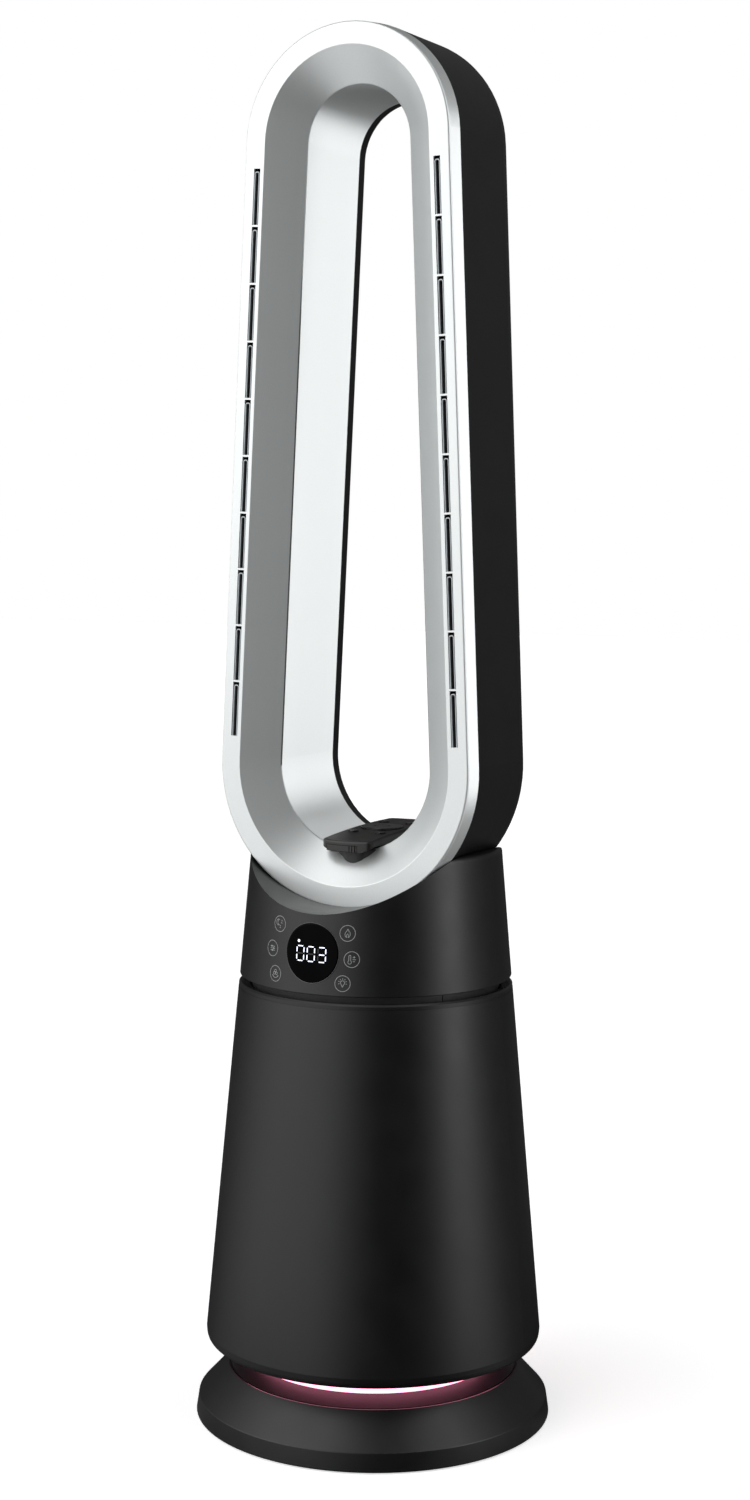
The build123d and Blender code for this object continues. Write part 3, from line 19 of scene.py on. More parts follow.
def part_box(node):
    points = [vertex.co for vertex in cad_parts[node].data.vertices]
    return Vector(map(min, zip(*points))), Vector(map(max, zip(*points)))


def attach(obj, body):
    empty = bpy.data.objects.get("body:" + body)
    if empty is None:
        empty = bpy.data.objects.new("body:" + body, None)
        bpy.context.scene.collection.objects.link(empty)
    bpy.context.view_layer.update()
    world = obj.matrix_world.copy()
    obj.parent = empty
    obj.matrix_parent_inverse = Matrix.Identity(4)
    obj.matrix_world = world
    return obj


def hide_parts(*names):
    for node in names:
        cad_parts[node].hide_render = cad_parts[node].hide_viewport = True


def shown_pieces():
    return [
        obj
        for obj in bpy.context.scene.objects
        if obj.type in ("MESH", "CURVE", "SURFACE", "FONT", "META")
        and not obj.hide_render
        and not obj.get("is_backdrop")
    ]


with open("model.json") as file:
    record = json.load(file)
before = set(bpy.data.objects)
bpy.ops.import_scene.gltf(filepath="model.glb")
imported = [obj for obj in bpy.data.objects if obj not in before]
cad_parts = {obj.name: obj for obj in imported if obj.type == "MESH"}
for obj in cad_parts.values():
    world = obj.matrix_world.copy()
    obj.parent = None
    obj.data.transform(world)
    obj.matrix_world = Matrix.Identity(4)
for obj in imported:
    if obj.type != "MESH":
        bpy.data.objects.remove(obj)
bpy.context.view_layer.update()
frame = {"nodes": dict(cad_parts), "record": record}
MM = 0.001

# %% [markdown]
# ## The camera
#
# The photographer stood to the right of the display, a little below the middle of the fan, and
# looked slightly down. A camera has a place, a direction and a lens. The direction is built here
# from three unit vectors, because that keeps the small roll of the real camera as one plain number.

# %% Camera
CAMERA_TURN = math.radians(27.74)       # to the right of the display
CAMERA_AWAY = 1.738                     # level distance from the fan's axis
CAMERA_HEIGHT = 0.653
CAMERA_PITCH = math.radians(5.34)       # looking down
CAMERA_ROLL = math.radians(0.43)
PHOTO_LONG_SIDE = 1500
FOCAL_PIXELS = 2398.7
CENTRE_SHIFT_PIXELS = -2.5              # the picture's middle lies this far beside the lens axis
CENTRE_RISE_PIXELS = 2.0                # and this far above it
SENSOR = 36.0                           # millimetres


def add_camera():
    """Camera whose axes are the view direction, and right and up turned by the roll."""
    level = Vector((-math.sin(CAMERA_TURN), math.cos(CAMERA_TURN), 0))
    right = Vector((math.cos(CAMERA_TURN), math.sin(CAMERA_TURN), 0))
    forward = level * math.cos(CAMERA_PITCH) - Vector((0, 0, math.sin(CAMERA_PITCH)))
    up = right.cross(forward)
    rolled_right = right * math.cos(CAMERA_ROLL) + up * math.sin(CAMERA_ROLL)
    rolled_up = up * math.cos(CAMERA_ROLL) - right * math.sin(CAMERA_ROLL)
    place = -level * CAMERA_AWAY + Vector((0, 0, CAMERA_HEIGHT))
    axes = Matrix((rolled_right, rolled_up, -forward)).transposed()
    camera = bpy.data.objects.new("camera", bpy.data.cameras.new("camera"))
    camera.matrix_world = Matrix.Translation(place) @ axes.to_4x4()
    camera.data.sensor_width = SENSOR
    camera.data.lens = FOCAL_PIXELS / PHOTO_LONG_SIDE * SENSOR
    camera.data.shift_x = CENTRE_SHIFT_PIXELS / PHOTO_LONG_SIDE
    camera.data.shift_y = CENTRE_RISE_PIXELS / PHOTO_LONG_SIDE
    bpy.context.scene.collection.objects.link(camera)
    bpy.context.scene.camera = camera
    return camera


camera = add_camera()
print("camera at", [round(c, 3) for c in camera.matrix_world.translation])
print("lens", round(camera.data.lens, 2), "mm")

# %% [markdown]
# ## Meshes from whole arrays
#
# Every new piece is a surface: a grid of points with one row for each step along a path and one
# column for each point of a profile. The helper below turns such a grid into a mesh in one go, and
# closes it along either direction when the shape comes back to its start.

# %% Grid helper
HOME = bpy.context.scene.collection


def grid_faces(rows, columns, wrap_rows=False, wrap_columns=False):
    """Corner numbers of the quads between neighbouring grid points, as an (n, 4) array."""
    r = np.arange(rows if wrap_rows else rows - 1)
    c = np.arange(columns if wrap_columns else columns - 1)
    r, c = np.meshgrid(r, c, indexing="ij")
    r2, c2 = (r + 1) % rows, (c + 1) % columns
    quads = np.stack([r * columns + c, r2 * columns + c, r2 * columns + c2, r * columns + c2], axis=-1)
    return quads.reshape(-1, 4)


def add_mesh(name, points, faces, material, body, smooth=True):
    """Mesh object at the origin that rides on a body."""
    mesh = bpy.data.meshes.new(name)
    mesh.from_pydata(np.asarray(points).reshape(-1, 3).tolist(), [], np.asarray(faces).tolist())
    mesh.materials.append(material)
    mesh.validate()
    mesh.polygons.foreach_set("use_smooth", [smooth] * len(mesh.polygons))
    piece = bpy.data.objects.new(name, mesh)
    HOME.objects.link(piece)
    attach(piece, body)
    return piece


print("a closed ring of 3 by 4 points has", len(grid_faces(3, 4, True, True)), "faces")

# %% [markdown]
# ## Finishes
#
# The real fan has few materials, but none of them is a flat colour. Its black parts are moulded
# plastic with a fine spark texture, its silver parts are sprayed with metallic paint whose flakes
# show as a fine grain, and the window over the digits is polished. Each finish below starts from a
# Principled shader and gets its grain from noise on Object coordinates, at the size of the real one.

# %% Finish helpers


def new_finish(name, color, roughness, **sockets):
    """Material with a Principled shader; extra socket values are given by name with underscores."""
    material = bpy.data.materials.new(name)
    material.use_nodes = True
    shader = material.node_tree.nodes["Principled BSDF"]
    shader.inputs["Base Color"].default_value = (*color, 1)
    shader.inputs["Roughness"].default_value = roughness
    for socket, value in sockets.items():
        shader.inputs[socket.replace("_", " ")].default_value = value
    return material


def add_node(material, kind, **settings):
    """New node; settings whose name is an input set that input, the others set the node."""
    node = material.node_tree.nodes.new(kind)
    for key, value in settings.items():
        socket = key.replace("_", " ")
        if socket in node.inputs:
            node.inputs[socket].default_value = value
        else:
            setattr(node, key, value)
    return node


def add_noise(material, size, detail=2.0):
    """Noise whose cells are about `size` metres wide on the object."""
    place = add_node(material, "ShaderNodeTexCoord")
    noise = add_node(material, "ShaderNodeTexNoise", Scale=1 / size, Detail=detail)
    material.node_tree.links.new(place.outputs["Object"], noise.inputs["Vector"])
    return noise.outputs["Fac"]


def grain(material, size, depth):
    """Fine bumps of a moulded or sprayed surface."""
    shader = material.node_tree.nodes["Principled BSDF"]
    bump = add_node(material, "ShaderNodeBump", Distance=depth, Strength=1.0)
    material.node_tree.links.new(add_noise(material, size), bump.inputs["Height"])
    material.node_tree.links.new(bump.outputs["Normal"], shader.inputs["Normal"])


def vary(material, socket, size, low, high):
    """Let a number socket drift between two values across the surface."""
    shader = material.node_tree.nodes["Principled BSDF"]
    spread = add_node(material, "ShaderNodeMapRange", From_Min=0.3, From_Max=0.7, To_Min=low, To_Max=high)
    material.node_tree.links.new(add_noise(material, size, 3.0), spread.inputs["Value"])
    material.node_tree.links.new(spread.outputs["Result"], shader.inputs[socket])


def mottle(material, size, dark, light):
    """Let the base colour drift between two colours."""
    shader = material.node_tree.nodes["Principled BSDF"]
    mix = add_node(material, "ShaderNodeMix", data_type="RGBA")
    mix.inputs["A"].default_value = (*dark, 1)
    mix.inputs["B"].default_value = (*light, 1)
    material.node_tree.links.new(add_noise(material, size, 3.0), mix.inputs["Factor"])
    material.node_tree.links.new(mix.outputs["Result"], shader.inputs["Base Color"])


print("finish helpers: new_finish, add_noise, grain, vary, mottle")

# %% [markdown]
# ### Black plastic and silver paint
#
# Two families of finish cover nearly the whole fan. The blacks differ only in how dark and how rough
# they are, and the silvers only in their tone, so each family is one function. A plain colour would
# look dead beside the photo: real plastic drifts a little in tone and sheen from place to place.

# %% The two families
SPARK_SIZE, SPARK_DEPTH = 0.35 * MM, 0.006 * MM
FLAKE_SIZE, SPRAY_SIZE, SPRAY_DEPTH = 0.45 * MM, 0.5 * MM, 0.004 * MM
TONE_DRIFT, SHEEN_DRIFT = 12 * MM, 25 * MM


def black_plastic(name, level, roughness, cast=(1.0, 1.0, 1.04)):
    """Spark-textured black plastic; the cast is its slight tint, a little cool unless told."""
    color = tuple(level * share for share in cast)
    made = new_finish(name, color, roughness)
    mottle(made, TONE_DRIFT, tuple(0.85 * c for c in color), tuple(1.15 * c for c in color))
    vary(made, "Roughness", SHEEN_DRIFT, roughness - 0.03, roughness + 0.03)
    grain(made, SPARK_SIZE, SPARK_DEPTH)
    return made


def metallic_paint(name, tone):
    """Silver paint: fine flakes that differ in tone, under a thin clear coat."""
    made = new_finish(name, tone, 0.36, Metallic=0.65, Coat_Weight=0.15, Coat_Roughness=0.25)
    mottle(made, FLAKE_SIZE, tuple(0.90 * c for c in tone), tuple(min(1.06 * c, 1) for c in tone))
    grain(made, SPRAY_SIZE, SPRAY_DEPTH)
    return made


shell_black = black_plastic("shell_black", 0.004, 0.37)
foot_black = black_plastic("foot_black", 0.005, 0.38)
neck_black = black_plastic("neck_black", 0.030, 0.50)
remote_black = black_plastic("remote_black", 0.011, 0.38, cast=(1.15, 0.97, 0.88))
key_black = black_plastic("key_black", 0.008, 0.22)
dock_grey = black_plastic("dock_grey", 0.011, 0.55)
inner_grey = black_plastic("inner_grey", 0.10, 0.55)
socket_black = black_plastic("socket_black", 0.010, 0.60)
silver = metallic_paint("silver", (0.705, 0.73, 0.73))
rubber = black_plastic("rubber", 0.018, 0.80)
acetal = black_plastic("acetal", 0.70, 0.50)
slot_silver = metallic_paint("slot_silver", (0.52, 0.56, 0.58))
print("the silver paint's flakes are", round(FLAKE_SIZE / MM, 2), "mm wide")

# %% [markdown]
# ### Metals, boards, glass and light
#
# The inner pieces show when the rear cover is off or the remote's tray is out, so they get the finish
# of real steel, paper and circuit board. The lit digits and the milky light ring give off light of
# their own. The ring is white-hot at its wall, and its pink is what the black foot throws back.

# %% The other finishes
glass_black = new_finish("glass_black", (0.0003, 0.0003, 0.0003), 0.05, IOR=1.18, Specular_IOR_Level=0.2)
plate_metal = new_finish("plate_metal", (0.50, 0.50, 0.51), 0.35, Metallic=1.0)
machine_metal = new_finish("machine_metal", (0.60, 0.60, 0.61), 0.22, Metallic=1.0)
motor_metal = new_finish("motor_metal", (0.62, 0.62, 0.63), 0.40, Metallic=1.0)
board_green = new_finish("board_green", (0.02, 0.12, 0.05), 0.35)
paper = new_finish("paper", (0.78, 0.78, 0.74), 0.9)
for metal in (plate_metal, machine_metal, motor_metal):
    vary(metal, "Roughness", 4 * MM, 0.22, 0.42)
mottle(board_green, 2 * MM, (0.015, 0.10, 0.04), (0.03, 0.15, 0.06))
grain(paper, 0.3 * MM, 0.02 * MM)
trim_black = new_finish("trim_black", (0.02, 0.02, 0.02), 0.12, Coat_Weight=0.5)
digit_light = new_finish("digit_light", (0.8, 0.85, 1.0), 0.4, Emission_Color=(0.86, 0.89, 1.0, 1),
                         Emission_Strength=0.95)
digit_off = new_finish("digit_off", (0.006, 0.006, 0.007), 0.3)
sign_grey = new_finish("sign_grey", (0.33, 0.34, 0.34), 0.5)
# Painted reflection: this dark grey colours the ribbon on the throat's rounded edge, standing in for the
# dark room that edge reflects.
painted_reflection_dark = new_finish("painted_reflection_dark", (0.10, 0.105, 0.105), 0.6)
diffuser = new_finish("diffuser", (0.9, 0.70, 0.75), 0.4, Emission_Color=(1.0, 0.26, 0.42, 1),
                      Emission_Strength=3.6)

# %% [markdown]
# ### A finish for every piece
#
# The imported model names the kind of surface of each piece, so one table is enough to dress them all.
# The small dock under the remote is moulded like the remote but greyer, which is the one exception.

# %% Dress the pieces
finish_of_slot = {
    "black_shell": shell_black, "neck_plastic": neck_black, "silver_paint": silver, "foot_paint": foot_black,
    "display_window": glass_black, "light_diffuser": diffuser, "remote_plastic": remote_black,
    "key_plastic": key_black, "inner_plastic": inner_grey, "gear_plastic": acetal, "rubber": rubber,
    "plate_steel": plate_metal, "machine_steel": machine_metal, "motor_metal": motor_metal,
    "heater_metal": motor_metal, "circuit_board": board_green, "filter_paper": paper,
    "socket_plastic": socket_black}
for part in frame["record"]["subparts"]:
    finish = dock_grey if part["node"] == "remote_dock" else finish_of_slot[part["material_slot"]]
    node = frame["nodes"][part["node"]]
    node.data.materials.clear()
    node.data.materials.append(finish)

# %% [markdown]
# ## Air slots
#
# Each of the twenty slots has its own frame, a thin moulding that is pressed into the band with a
# hair of a joint round it. A box with a hole would give hard corners. Here a small profile is
# carried round a rounded rectangle instead, so that the frame gets its bevels and the slit gets its
# round ends from one formula.

# %% Rounded rectangle and profile


def rounded_rectangle(width, height, radius, corner_steps=6):
    """Points of a rounded rectangle and their outward directions.

    Each corner is a quarter circle: its centre lies the radius in from both sides, and a point is
    that centre plus the radius times (cosine, sine) of an angle. The direction is that same pair.
    """
    turn = np.linspace(0, np.pi / 2, corner_steps)
    angles = np.concatenate([turn + quarter * np.pi / 2 for quarter in range(4)])
    outward = np.stack([np.cos(angles), np.sin(angles)], axis=-1)
    signs = np.repeat([[1, 1], [-1, 1], [-1, -1], [1, -1]], corner_steps, axis=0)
    centres = signs * (np.array([width, height]) / 2 - radius)
    return centres + radius * outward, outward


def carried(path, outward, profile):
    """Grid of points: each profile point is (distance outward, depth) from each path point."""
    offset, depth = profile[:, 0], profile[:, 1]
    flat = path[:, None, :] + outward[:, None, :] * offset[None, :, None]
    deep = np.broadcast_to(depth[None, :, None], flat.shape[:2] + (1,))
    return np.concatenate([flat, deep], axis=-1)


print("a rounded rectangle has", len(rounded_rectangle(4, 2, 0.5)[0]), "points")

# %% [markdown]
# The slots stand in two columns that lean with the limbs of the loop. The lean follows from the
# loop's two radii, and the pitch from a slot and the bar above it. The band's plane is the front
# face of the loop's frame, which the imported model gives.

# %% Slot places
SLOTS_PER_SIDE = 10
SLOT_LONG, SLOT_BAR = 39.1 * MM, 1.3 * MM
SLOT_INSET = 10 * MM                    # from the band's outer edge to the middle of a slot
FIRST_SLOT = 15.7 * MM                  # above the centre of the lower arc
loop_low, loop_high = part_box("loop_front_frame")
band_y = loop_low.y
LOWER_RADIUS, UPPER_RADIUS = 99.5 * MM, 79.8 * MM
lower_centre_z = loop_low.z + LOWER_RADIUS
upper_centre_z = loop_high.z - UPPER_RADIUS
lean = math.asin((LOWER_RADIUS - UPPER_RADIUS) / (upper_centre_z - lower_centre_z))


def slot_matrices():
    """One 3 by 3 turn and one place for each slot, the columns being across, along and outward."""
    turns, places = [], []
    for side in (-1, 1):
        along = np.array([-side * math.sin(lean), 0, math.cos(lean)])
        across = np.array([math.cos(lean), 0, side * math.sin(lean)])
        for number in range(SLOTS_PER_SIDE):
            distance = FIRST_SLOT + SLOT_LONG / 2 + number * (SLOT_LONG + SLOT_BAR)
            out = (LOWER_RADIUS - SLOT_INSET) * side
            place = across * out + along * distance + np.array([0, band_y, lower_centre_z])
            turns.append(np.stack([across, along, np.array([0, -1.0, 0])]))
            places.append(place)
    return np.array(turns), np.array(places)


def repeated(grid, turns, places):
    """The same grid at every slot: its three coordinates times the three directions, plus the place."""
    return np.einsum("rck,nkd->nrcd", grid, turns) + places[:, None, None, :]


def repeated_faces(faces, points_each, count):
    """Faces of that many copies, one after the other."""
    return (faces[None, :, :] + points_each * np.arange(count)[:, None, None]).reshape(-1, faces.shape[1])


slot_turns, slot_centres = slot_matrices()
print(len(slot_centres), "slots, leaning", round(math.degrees(lean), 2), "degrees")

# %% [markdown]
# A slot frame is a bead round the slit that lies just under the band's face, and its joint with the
# band stays open by a hair. Seen from the front the slit is black, because the air comes out of a
# deep channel. A black face would do from afar, but it would look painted from the side, so the
# channel gets real walls and a floor.

# %% Slot frames
SLIT_WIDE, SLIT_ROUND = 2.4 * MM, 0.9 * MM
FRAME_WIDE = 0.85 * MM                  # of the frame beside the slit
SLOT_PLAY = 0.9 * MM                    # the frame is this much shorter than its slot
slit_path, slit_outward = rounded_rectangle(SLIT_WIDE, SLOT_LONG - 2 * FRAME_WIDE - SLOT_PLAY, SLIT_ROUND)
frame_profile = np.array([
    (0.00, -2.1), (0.00, -0.60), (0.10, -0.30), (0.30, -0.12), (0.55, -0.10), (0.75, -0.16),
    (0.85, -0.40), (0.85, -2.1)]) * MM


def add_slot_frames():
    """Frame profile carried round the slit's rounded rectangle, once for each slot, closed both ways."""
    grid = carried(slit_path, slit_outward, frame_profile)
    rows, columns = grid.shape[:2]
    points = repeated(grid, slot_turns, slot_centres)
    faces = repeated_faces(grid_faces(rows, columns, True, True), rows * columns, len(slot_centres))
    frames = add_mesh("slot_frames", points, faces, slot_silver, "head")
    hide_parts("slot_inserts")
    print("slot frame", round((SLIT_WIDE + 2 * FRAME_WIDE) / MM, 2), "mm wide")


nozzle_profile = np.array([
    (1.25, -0.7), (0.60, -0.7), (0.60, -2.0), (0.00, -2.1), (0.00, -8.0), (-0.90, -8.0)]) * MM


def add_slot_nozzles():
    """Dark blind channel behind each slit, with a flat ring round the frame that makes its joint dark.

    The profile runs in along the ring, down the straight walls and in to the middle for the floor.
    """
    grid = carried(slit_path, slit_outward, nozzle_profile)[::-1]
    rows, columns = grid.shape[:2]
    points = repeated(grid, slot_turns, slot_centres)
    faces = repeated_faces(grid_faces(rows, columns, True), rows * columns, len(slot_centres))
    add_mesh("slot_nozzles", points, faces, socket_black, "head")


add_slot_frames()
add_slot_nozzles()

# %% [markdown]
# Where the slanted face of the loop meets the straight wall of its throat, the rounded edge reflects
# the dark side of the room as a thin dark line. That reflection is painted here as a thin dark
# ribbon that follows the loop: two arcs of circles, joined by the straight limbs. A dark line in the
# paint's material would need the distance from that edge at every point, while a ribbon lies where
# it belongs by itself. Its profile is the arc of the rounded edge, a hair proud of it.

# %% Painted dark reflection along the throat
ARC_STEPS = 48


def loop_path():
    """Points of the loop's front outline and their outward directions.

    A point is the centre of the lower or upper arc plus its radius times (cosine, sine) of an angle;
    the arcs meet the limbs where the outline leans, so the angles run past the half circle by that.
    """
    low = np.linspace(math.pi - lean, 2 * math.pi + lean, ARC_STEPS)
    high = np.linspace(lean, math.pi - lean, ARC_STEPS)
    angle = np.concatenate([low, high])
    radius = np.repeat([LOWER_RADIUS, UPPER_RADIUS], ARC_STEPS)
    centre_z = np.repeat([lower_centre_z, upper_centre_z], ARC_STEPS)
    outward = np.stack([np.cos(angle), 0 * angle, np.sin(angle)], axis=-1)
    path = outward * radius[:, None]
    path[:, 2] += centre_z
    return path, outward


def add_round_loop(name, profile, material):
    """Open profile of (outward distance, depth along Y) pairs carried once round the loop."""
    path, outward = loop_path()
    grid = path[:, None, :] + outward[:, None, :] * profile[None, :, :1]
    grid[..., 1] += profile[None, :, 1]
    return add_mesh(name, grid, grid_faces(len(path), len(profile), True), material, "head")


# Profile of the ribbon that paints the dark reflection on the throat's rounded edge.
painted_throat_reflection = np.array([(-38.86, -35.79), (-39.15, -35.47), (-39.29, -35.25), (-39.39, -34.95),
                         (-39.44, -34.58)]) * MM
add_round_loop("painted_throat_reflection", painted_throat_reflection, painted_reflection_dark)
print("throat joint on", 2 * ARC_STEPS, "places round the loop")

# %% [markdown]
# ## The display
#
# The display is a slightly domed glass window that follows the head's cone. Everything on the head
# is drawn flat, in arc length across and height up, and then laid onto the cone: the arc length
# divided by the cone's radius at that height is the angle round the axis. That keeps circles round
# and digits upright.

# %% Drawing on the head
head_low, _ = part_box("head_housing")
HEAD_SLOPE = 0.087                      # radius lost per metre of height
HEAD_BASE_RADIUS = 99.5 * MM
lens_low, lens_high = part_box("display_lens")
lens_z = (lens_low.z + lens_high.z) / 2
lens_radius = (lens_high.z - lens_low.z) / 2


def on_head(across, up, lift):
    """Points on the head's cone: (r sin a, -r cos a, up), where a is the arc length over r."""
    radius = HEAD_BASE_RADIUS - HEAD_SLOPE * (up - head_low.z)
    angle = across / radius
    r = radius + lift
    return np.stack([r * np.sin(angle), -r * np.cos(angle), up + 0 * across], axis=-1)


radius_at_lens = HEAD_BASE_RADIUS - HEAD_SLOPE * (lens_z - head_low.z)
print("the head's radius at the display is", round(radius_at_lens / MM, 1), "mm")

# %% [markdown]
# ### Window and trim ring
#
# The window is a disc of dark glass that stands a little proud of the head, with a polished edge. A
# thin glossy ring closes the joint round it. A cylinder would give the glass a sharp edge that
# catches no light, so the disc is a polar grid whose outermost rings fall off in a curve.

# %% Window and its trim ring
WINDOW_SET, WINDOW_DOME, WINDOW_WALL = 0.10 * MM, 0.55 * MM, 2.0 * MM
WINDOW_EDGE = 0.04                      # share of the radius that is rounded
TRIM_GAP, TRIM_RADIUS = 0.1 * MM, 0.35 * MM
ROUND_STEPS = 96


def add_window():
    """Polar grid: rings of growing radius whose lift falls off as a quarter ellipse near the edge."""
    share = np.concatenate([np.linspace(0, 0.9, 10), 1 - 0.1 * np.cos(np.linspace(0.3, np.pi / 2, 7))])
    turn = np.linspace(0, 2 * np.pi, ROUND_STEPS, endpoint=False)
    edge = np.clip((share - 1 + WINDOW_EDGE) / WINDOW_EDGE, 0, 1)
    lift = WINDOW_SET + WINDOW_DOME * np.sqrt(1 - edge ** 2)
    across = lens_radius * share[:, None] * np.cos(turn)[None, :]
    up = lens_z + lens_radius * share[:, None] * np.sin(turn)[None, :]
    points = on_head(across, up, np.broadcast_to(lift[:, None], up.shape))
    wall = on_head(across[-1:], up[-1:], np.full((1, len(turn)), -WINDOW_WALL))
    points = np.concatenate([points, wall])
    faces = grid_faces(len(share) + 1, len(turn), False, True)[:, ::-1]
    window = add_mesh("display_window", points, faces, glass_black, "head")
    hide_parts("display_lens")
    print("window", round(2 * lens_radius / MM, 1), "mm across")


def add_trim_ring():
    """Torus on the cone: a small circle of directions (outward in the drawing, lift) at every turn."""
    turn = np.linspace(0, 2 * np.pi, ROUND_STEPS, endpoint=False)[:, None]
    around = np.linspace(0, 2 * np.pi, 12, endpoint=False)[None, :]
    radius = lens_radius + TRIM_GAP + TRIM_RADIUS * np.cos(around)
    lift = TRIM_GAP / 2 + TRIM_RADIUS * np.sin(around) + 0 * turn
    points = on_head(radius * np.cos(turn), lens_z + radius * np.sin(turn), lift)
    faces = grid_faces(*points.shape[:2], True, True)
    add_mesh("display_trim", points, faces, trim_black, "head")


add_window()
add_trim_ring()

# %% [markdown]
# ### Lit digits
#
# A digit of the display has seven bars. Each bar is a hexagon, drawn once and laid at seven places,
# and a digit is the set of its lit bars. The bars that aren't lit stay just visible behind the
# dark glass.

# %% Seven bars
DIGIT_WIDE, DIGIT_TALL, DIGIT_PITCH = 5.8 * MM, 10.2 * MM, 8.5 * MM
BAR_THICK, BAR_GAP = 0.80 * MM, 0.80 * MM
DIGITS_Z = 356.8 * MM
DOT_X, DOT_Z, DOT_RADIUS = -10.1 * MM, 365.3 * MM, 1.0 * MM
LIT_LIFT, UNLIT_LIFT = 0.70 * MM, 0.69 * MM
LIT_BARS = {"0": "abcdef", "3": "abcdg"}
bar_places = {
    "a": (0, 1, True), "b": (0.5, 0.5, False), "c": (0.5, -0.5, False), "d": (0, -1, True),
    "e": (-0.5, -0.5, False), "f": (-0.5, 0.5, False), "g": (0, 0, True)}


def bar_outline(name):
    """Hexagon of one bar: a strip whose two ends taper to half its thickness."""
    x, y, level = bar_places[name]
    long = (DIGIT_WIDE if level else DIGIT_TALL / 2) / 2 - BAR_GAP
    thick = BAR_THICK / 2
    taper = 0.6 * thick
    corners = np.array([(-long, -thick * 0.4), (-long + taper, -thick), (long - taper, -thick),
                        (long, -thick * 0.4), (long, thick * 0.4), (long - taper, thick),
                        (-long + taper, thick), (-long, thick * 0.4)])
    if not level:
        corners = corners[:, ::-1] * [-1, 1]
    return corners + [x * DIGIT_WIDE, y * DIGIT_TALL / 2]


def add_flat_shapes(name, outlines, lift, material):
    """Filled outlines laid on the head; each is one face, its corners running anticlockwise."""
    points, faces, start = [], [], 0
    for outline in outlines:
        points.append(on_head(outline[:, 0], outline[:, 1], np.full(len(outline), lift)))
        faces.append(list(range(start, start + len(outline))))
        start += len(outline)
    mesh = bpy.data.meshes.new(name)
    mesh.from_pydata(np.concatenate(points).tolist(), [], faces)
    mesh.materials.append(material)
    piece = bpy.data.objects.new(name, mesh)
    HOME.objects.link(piece)
    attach(piece, "head")
    return piece


def add_digits(text):
    """Lit and unlit bars of three digits side by side, centred on the display."""
    lit, unlit = [], []
    for place, digit in enumerate(text):
        shift = np.array([(place - (len(text) - 1) / 2) * DIGIT_PITCH, DIGITS_Z])
        for bar in bar_places:
            (lit if bar in LIT_BARS[digit] else unlit).append(bar_outline(bar) + shift)
    add_flat_shapes("display_digits", lit, LIT_LIFT, digit_light)
    add_flat_shapes("display_unlit", unlit, UNLIT_LIFT, digit_off)
    turn = np.linspace(0, 2 * np.pi, 20, endpoint=False)
    dot = np.stack([DOT_X + DOT_RADIUS * np.cos(turn), DOT_Z + DOT_RADIUS * np.sin(turn)], axis=-1)
    add_flat_shapes("display_dot", [dot], LIT_LIFT, digit_light)
    print(len(lit), "bars lit,", len(unlit), "dark")


add_digits("003")

# %% [markdown]
# ### Printed touch signs
#
# Six thin grey signs are screen printed beside the display: sleep, mode, swing, heat, temperature
# and light. Each is a ring with a few pen strokes in it. A stroke is a line of points that is
# widened to both sides, so a sign is written the way one would draw it by hand.

# %% Pen strokes
SIGN_RADIUS, PEN = 5.5 * MM, 0.36 * MM
PRINT_LIFT = 0.05 * MM


def arc(x, y, radius, start, end, steps=24):
    """Points of an arc in millimetres, its angles in degrees."""
    turn = np.radians(np.linspace(start, end, steps))
    return np.stack([x + radius * np.cos(turn), y + radius * np.sin(turn)], axis=-1)


def line(*corners):
    """Points of a straight or broken line in millimetres."""
    return np.array(corners, float)


def stroke_grid(path, width):
    """Two points for each path point, half the width to its right and left.

    The direction at a point is the mean of the directions of the two pieces that meet there.
    """
    step = np.diff(path, axis=0)
    step /= np.linalg.norm(step, axis=1)[:, None]
    direction = np.concatenate([step[:1], (step[:-1] + step[1:]) / 2, step[-1:]])
    direction /= np.linalg.norm(direction, axis=1)[:, None]
    side = np.stack([direction[:, 1], -direction[:, 0]], axis=-1) * width / 2
    return np.stack([path + side, path - side], axis=1)


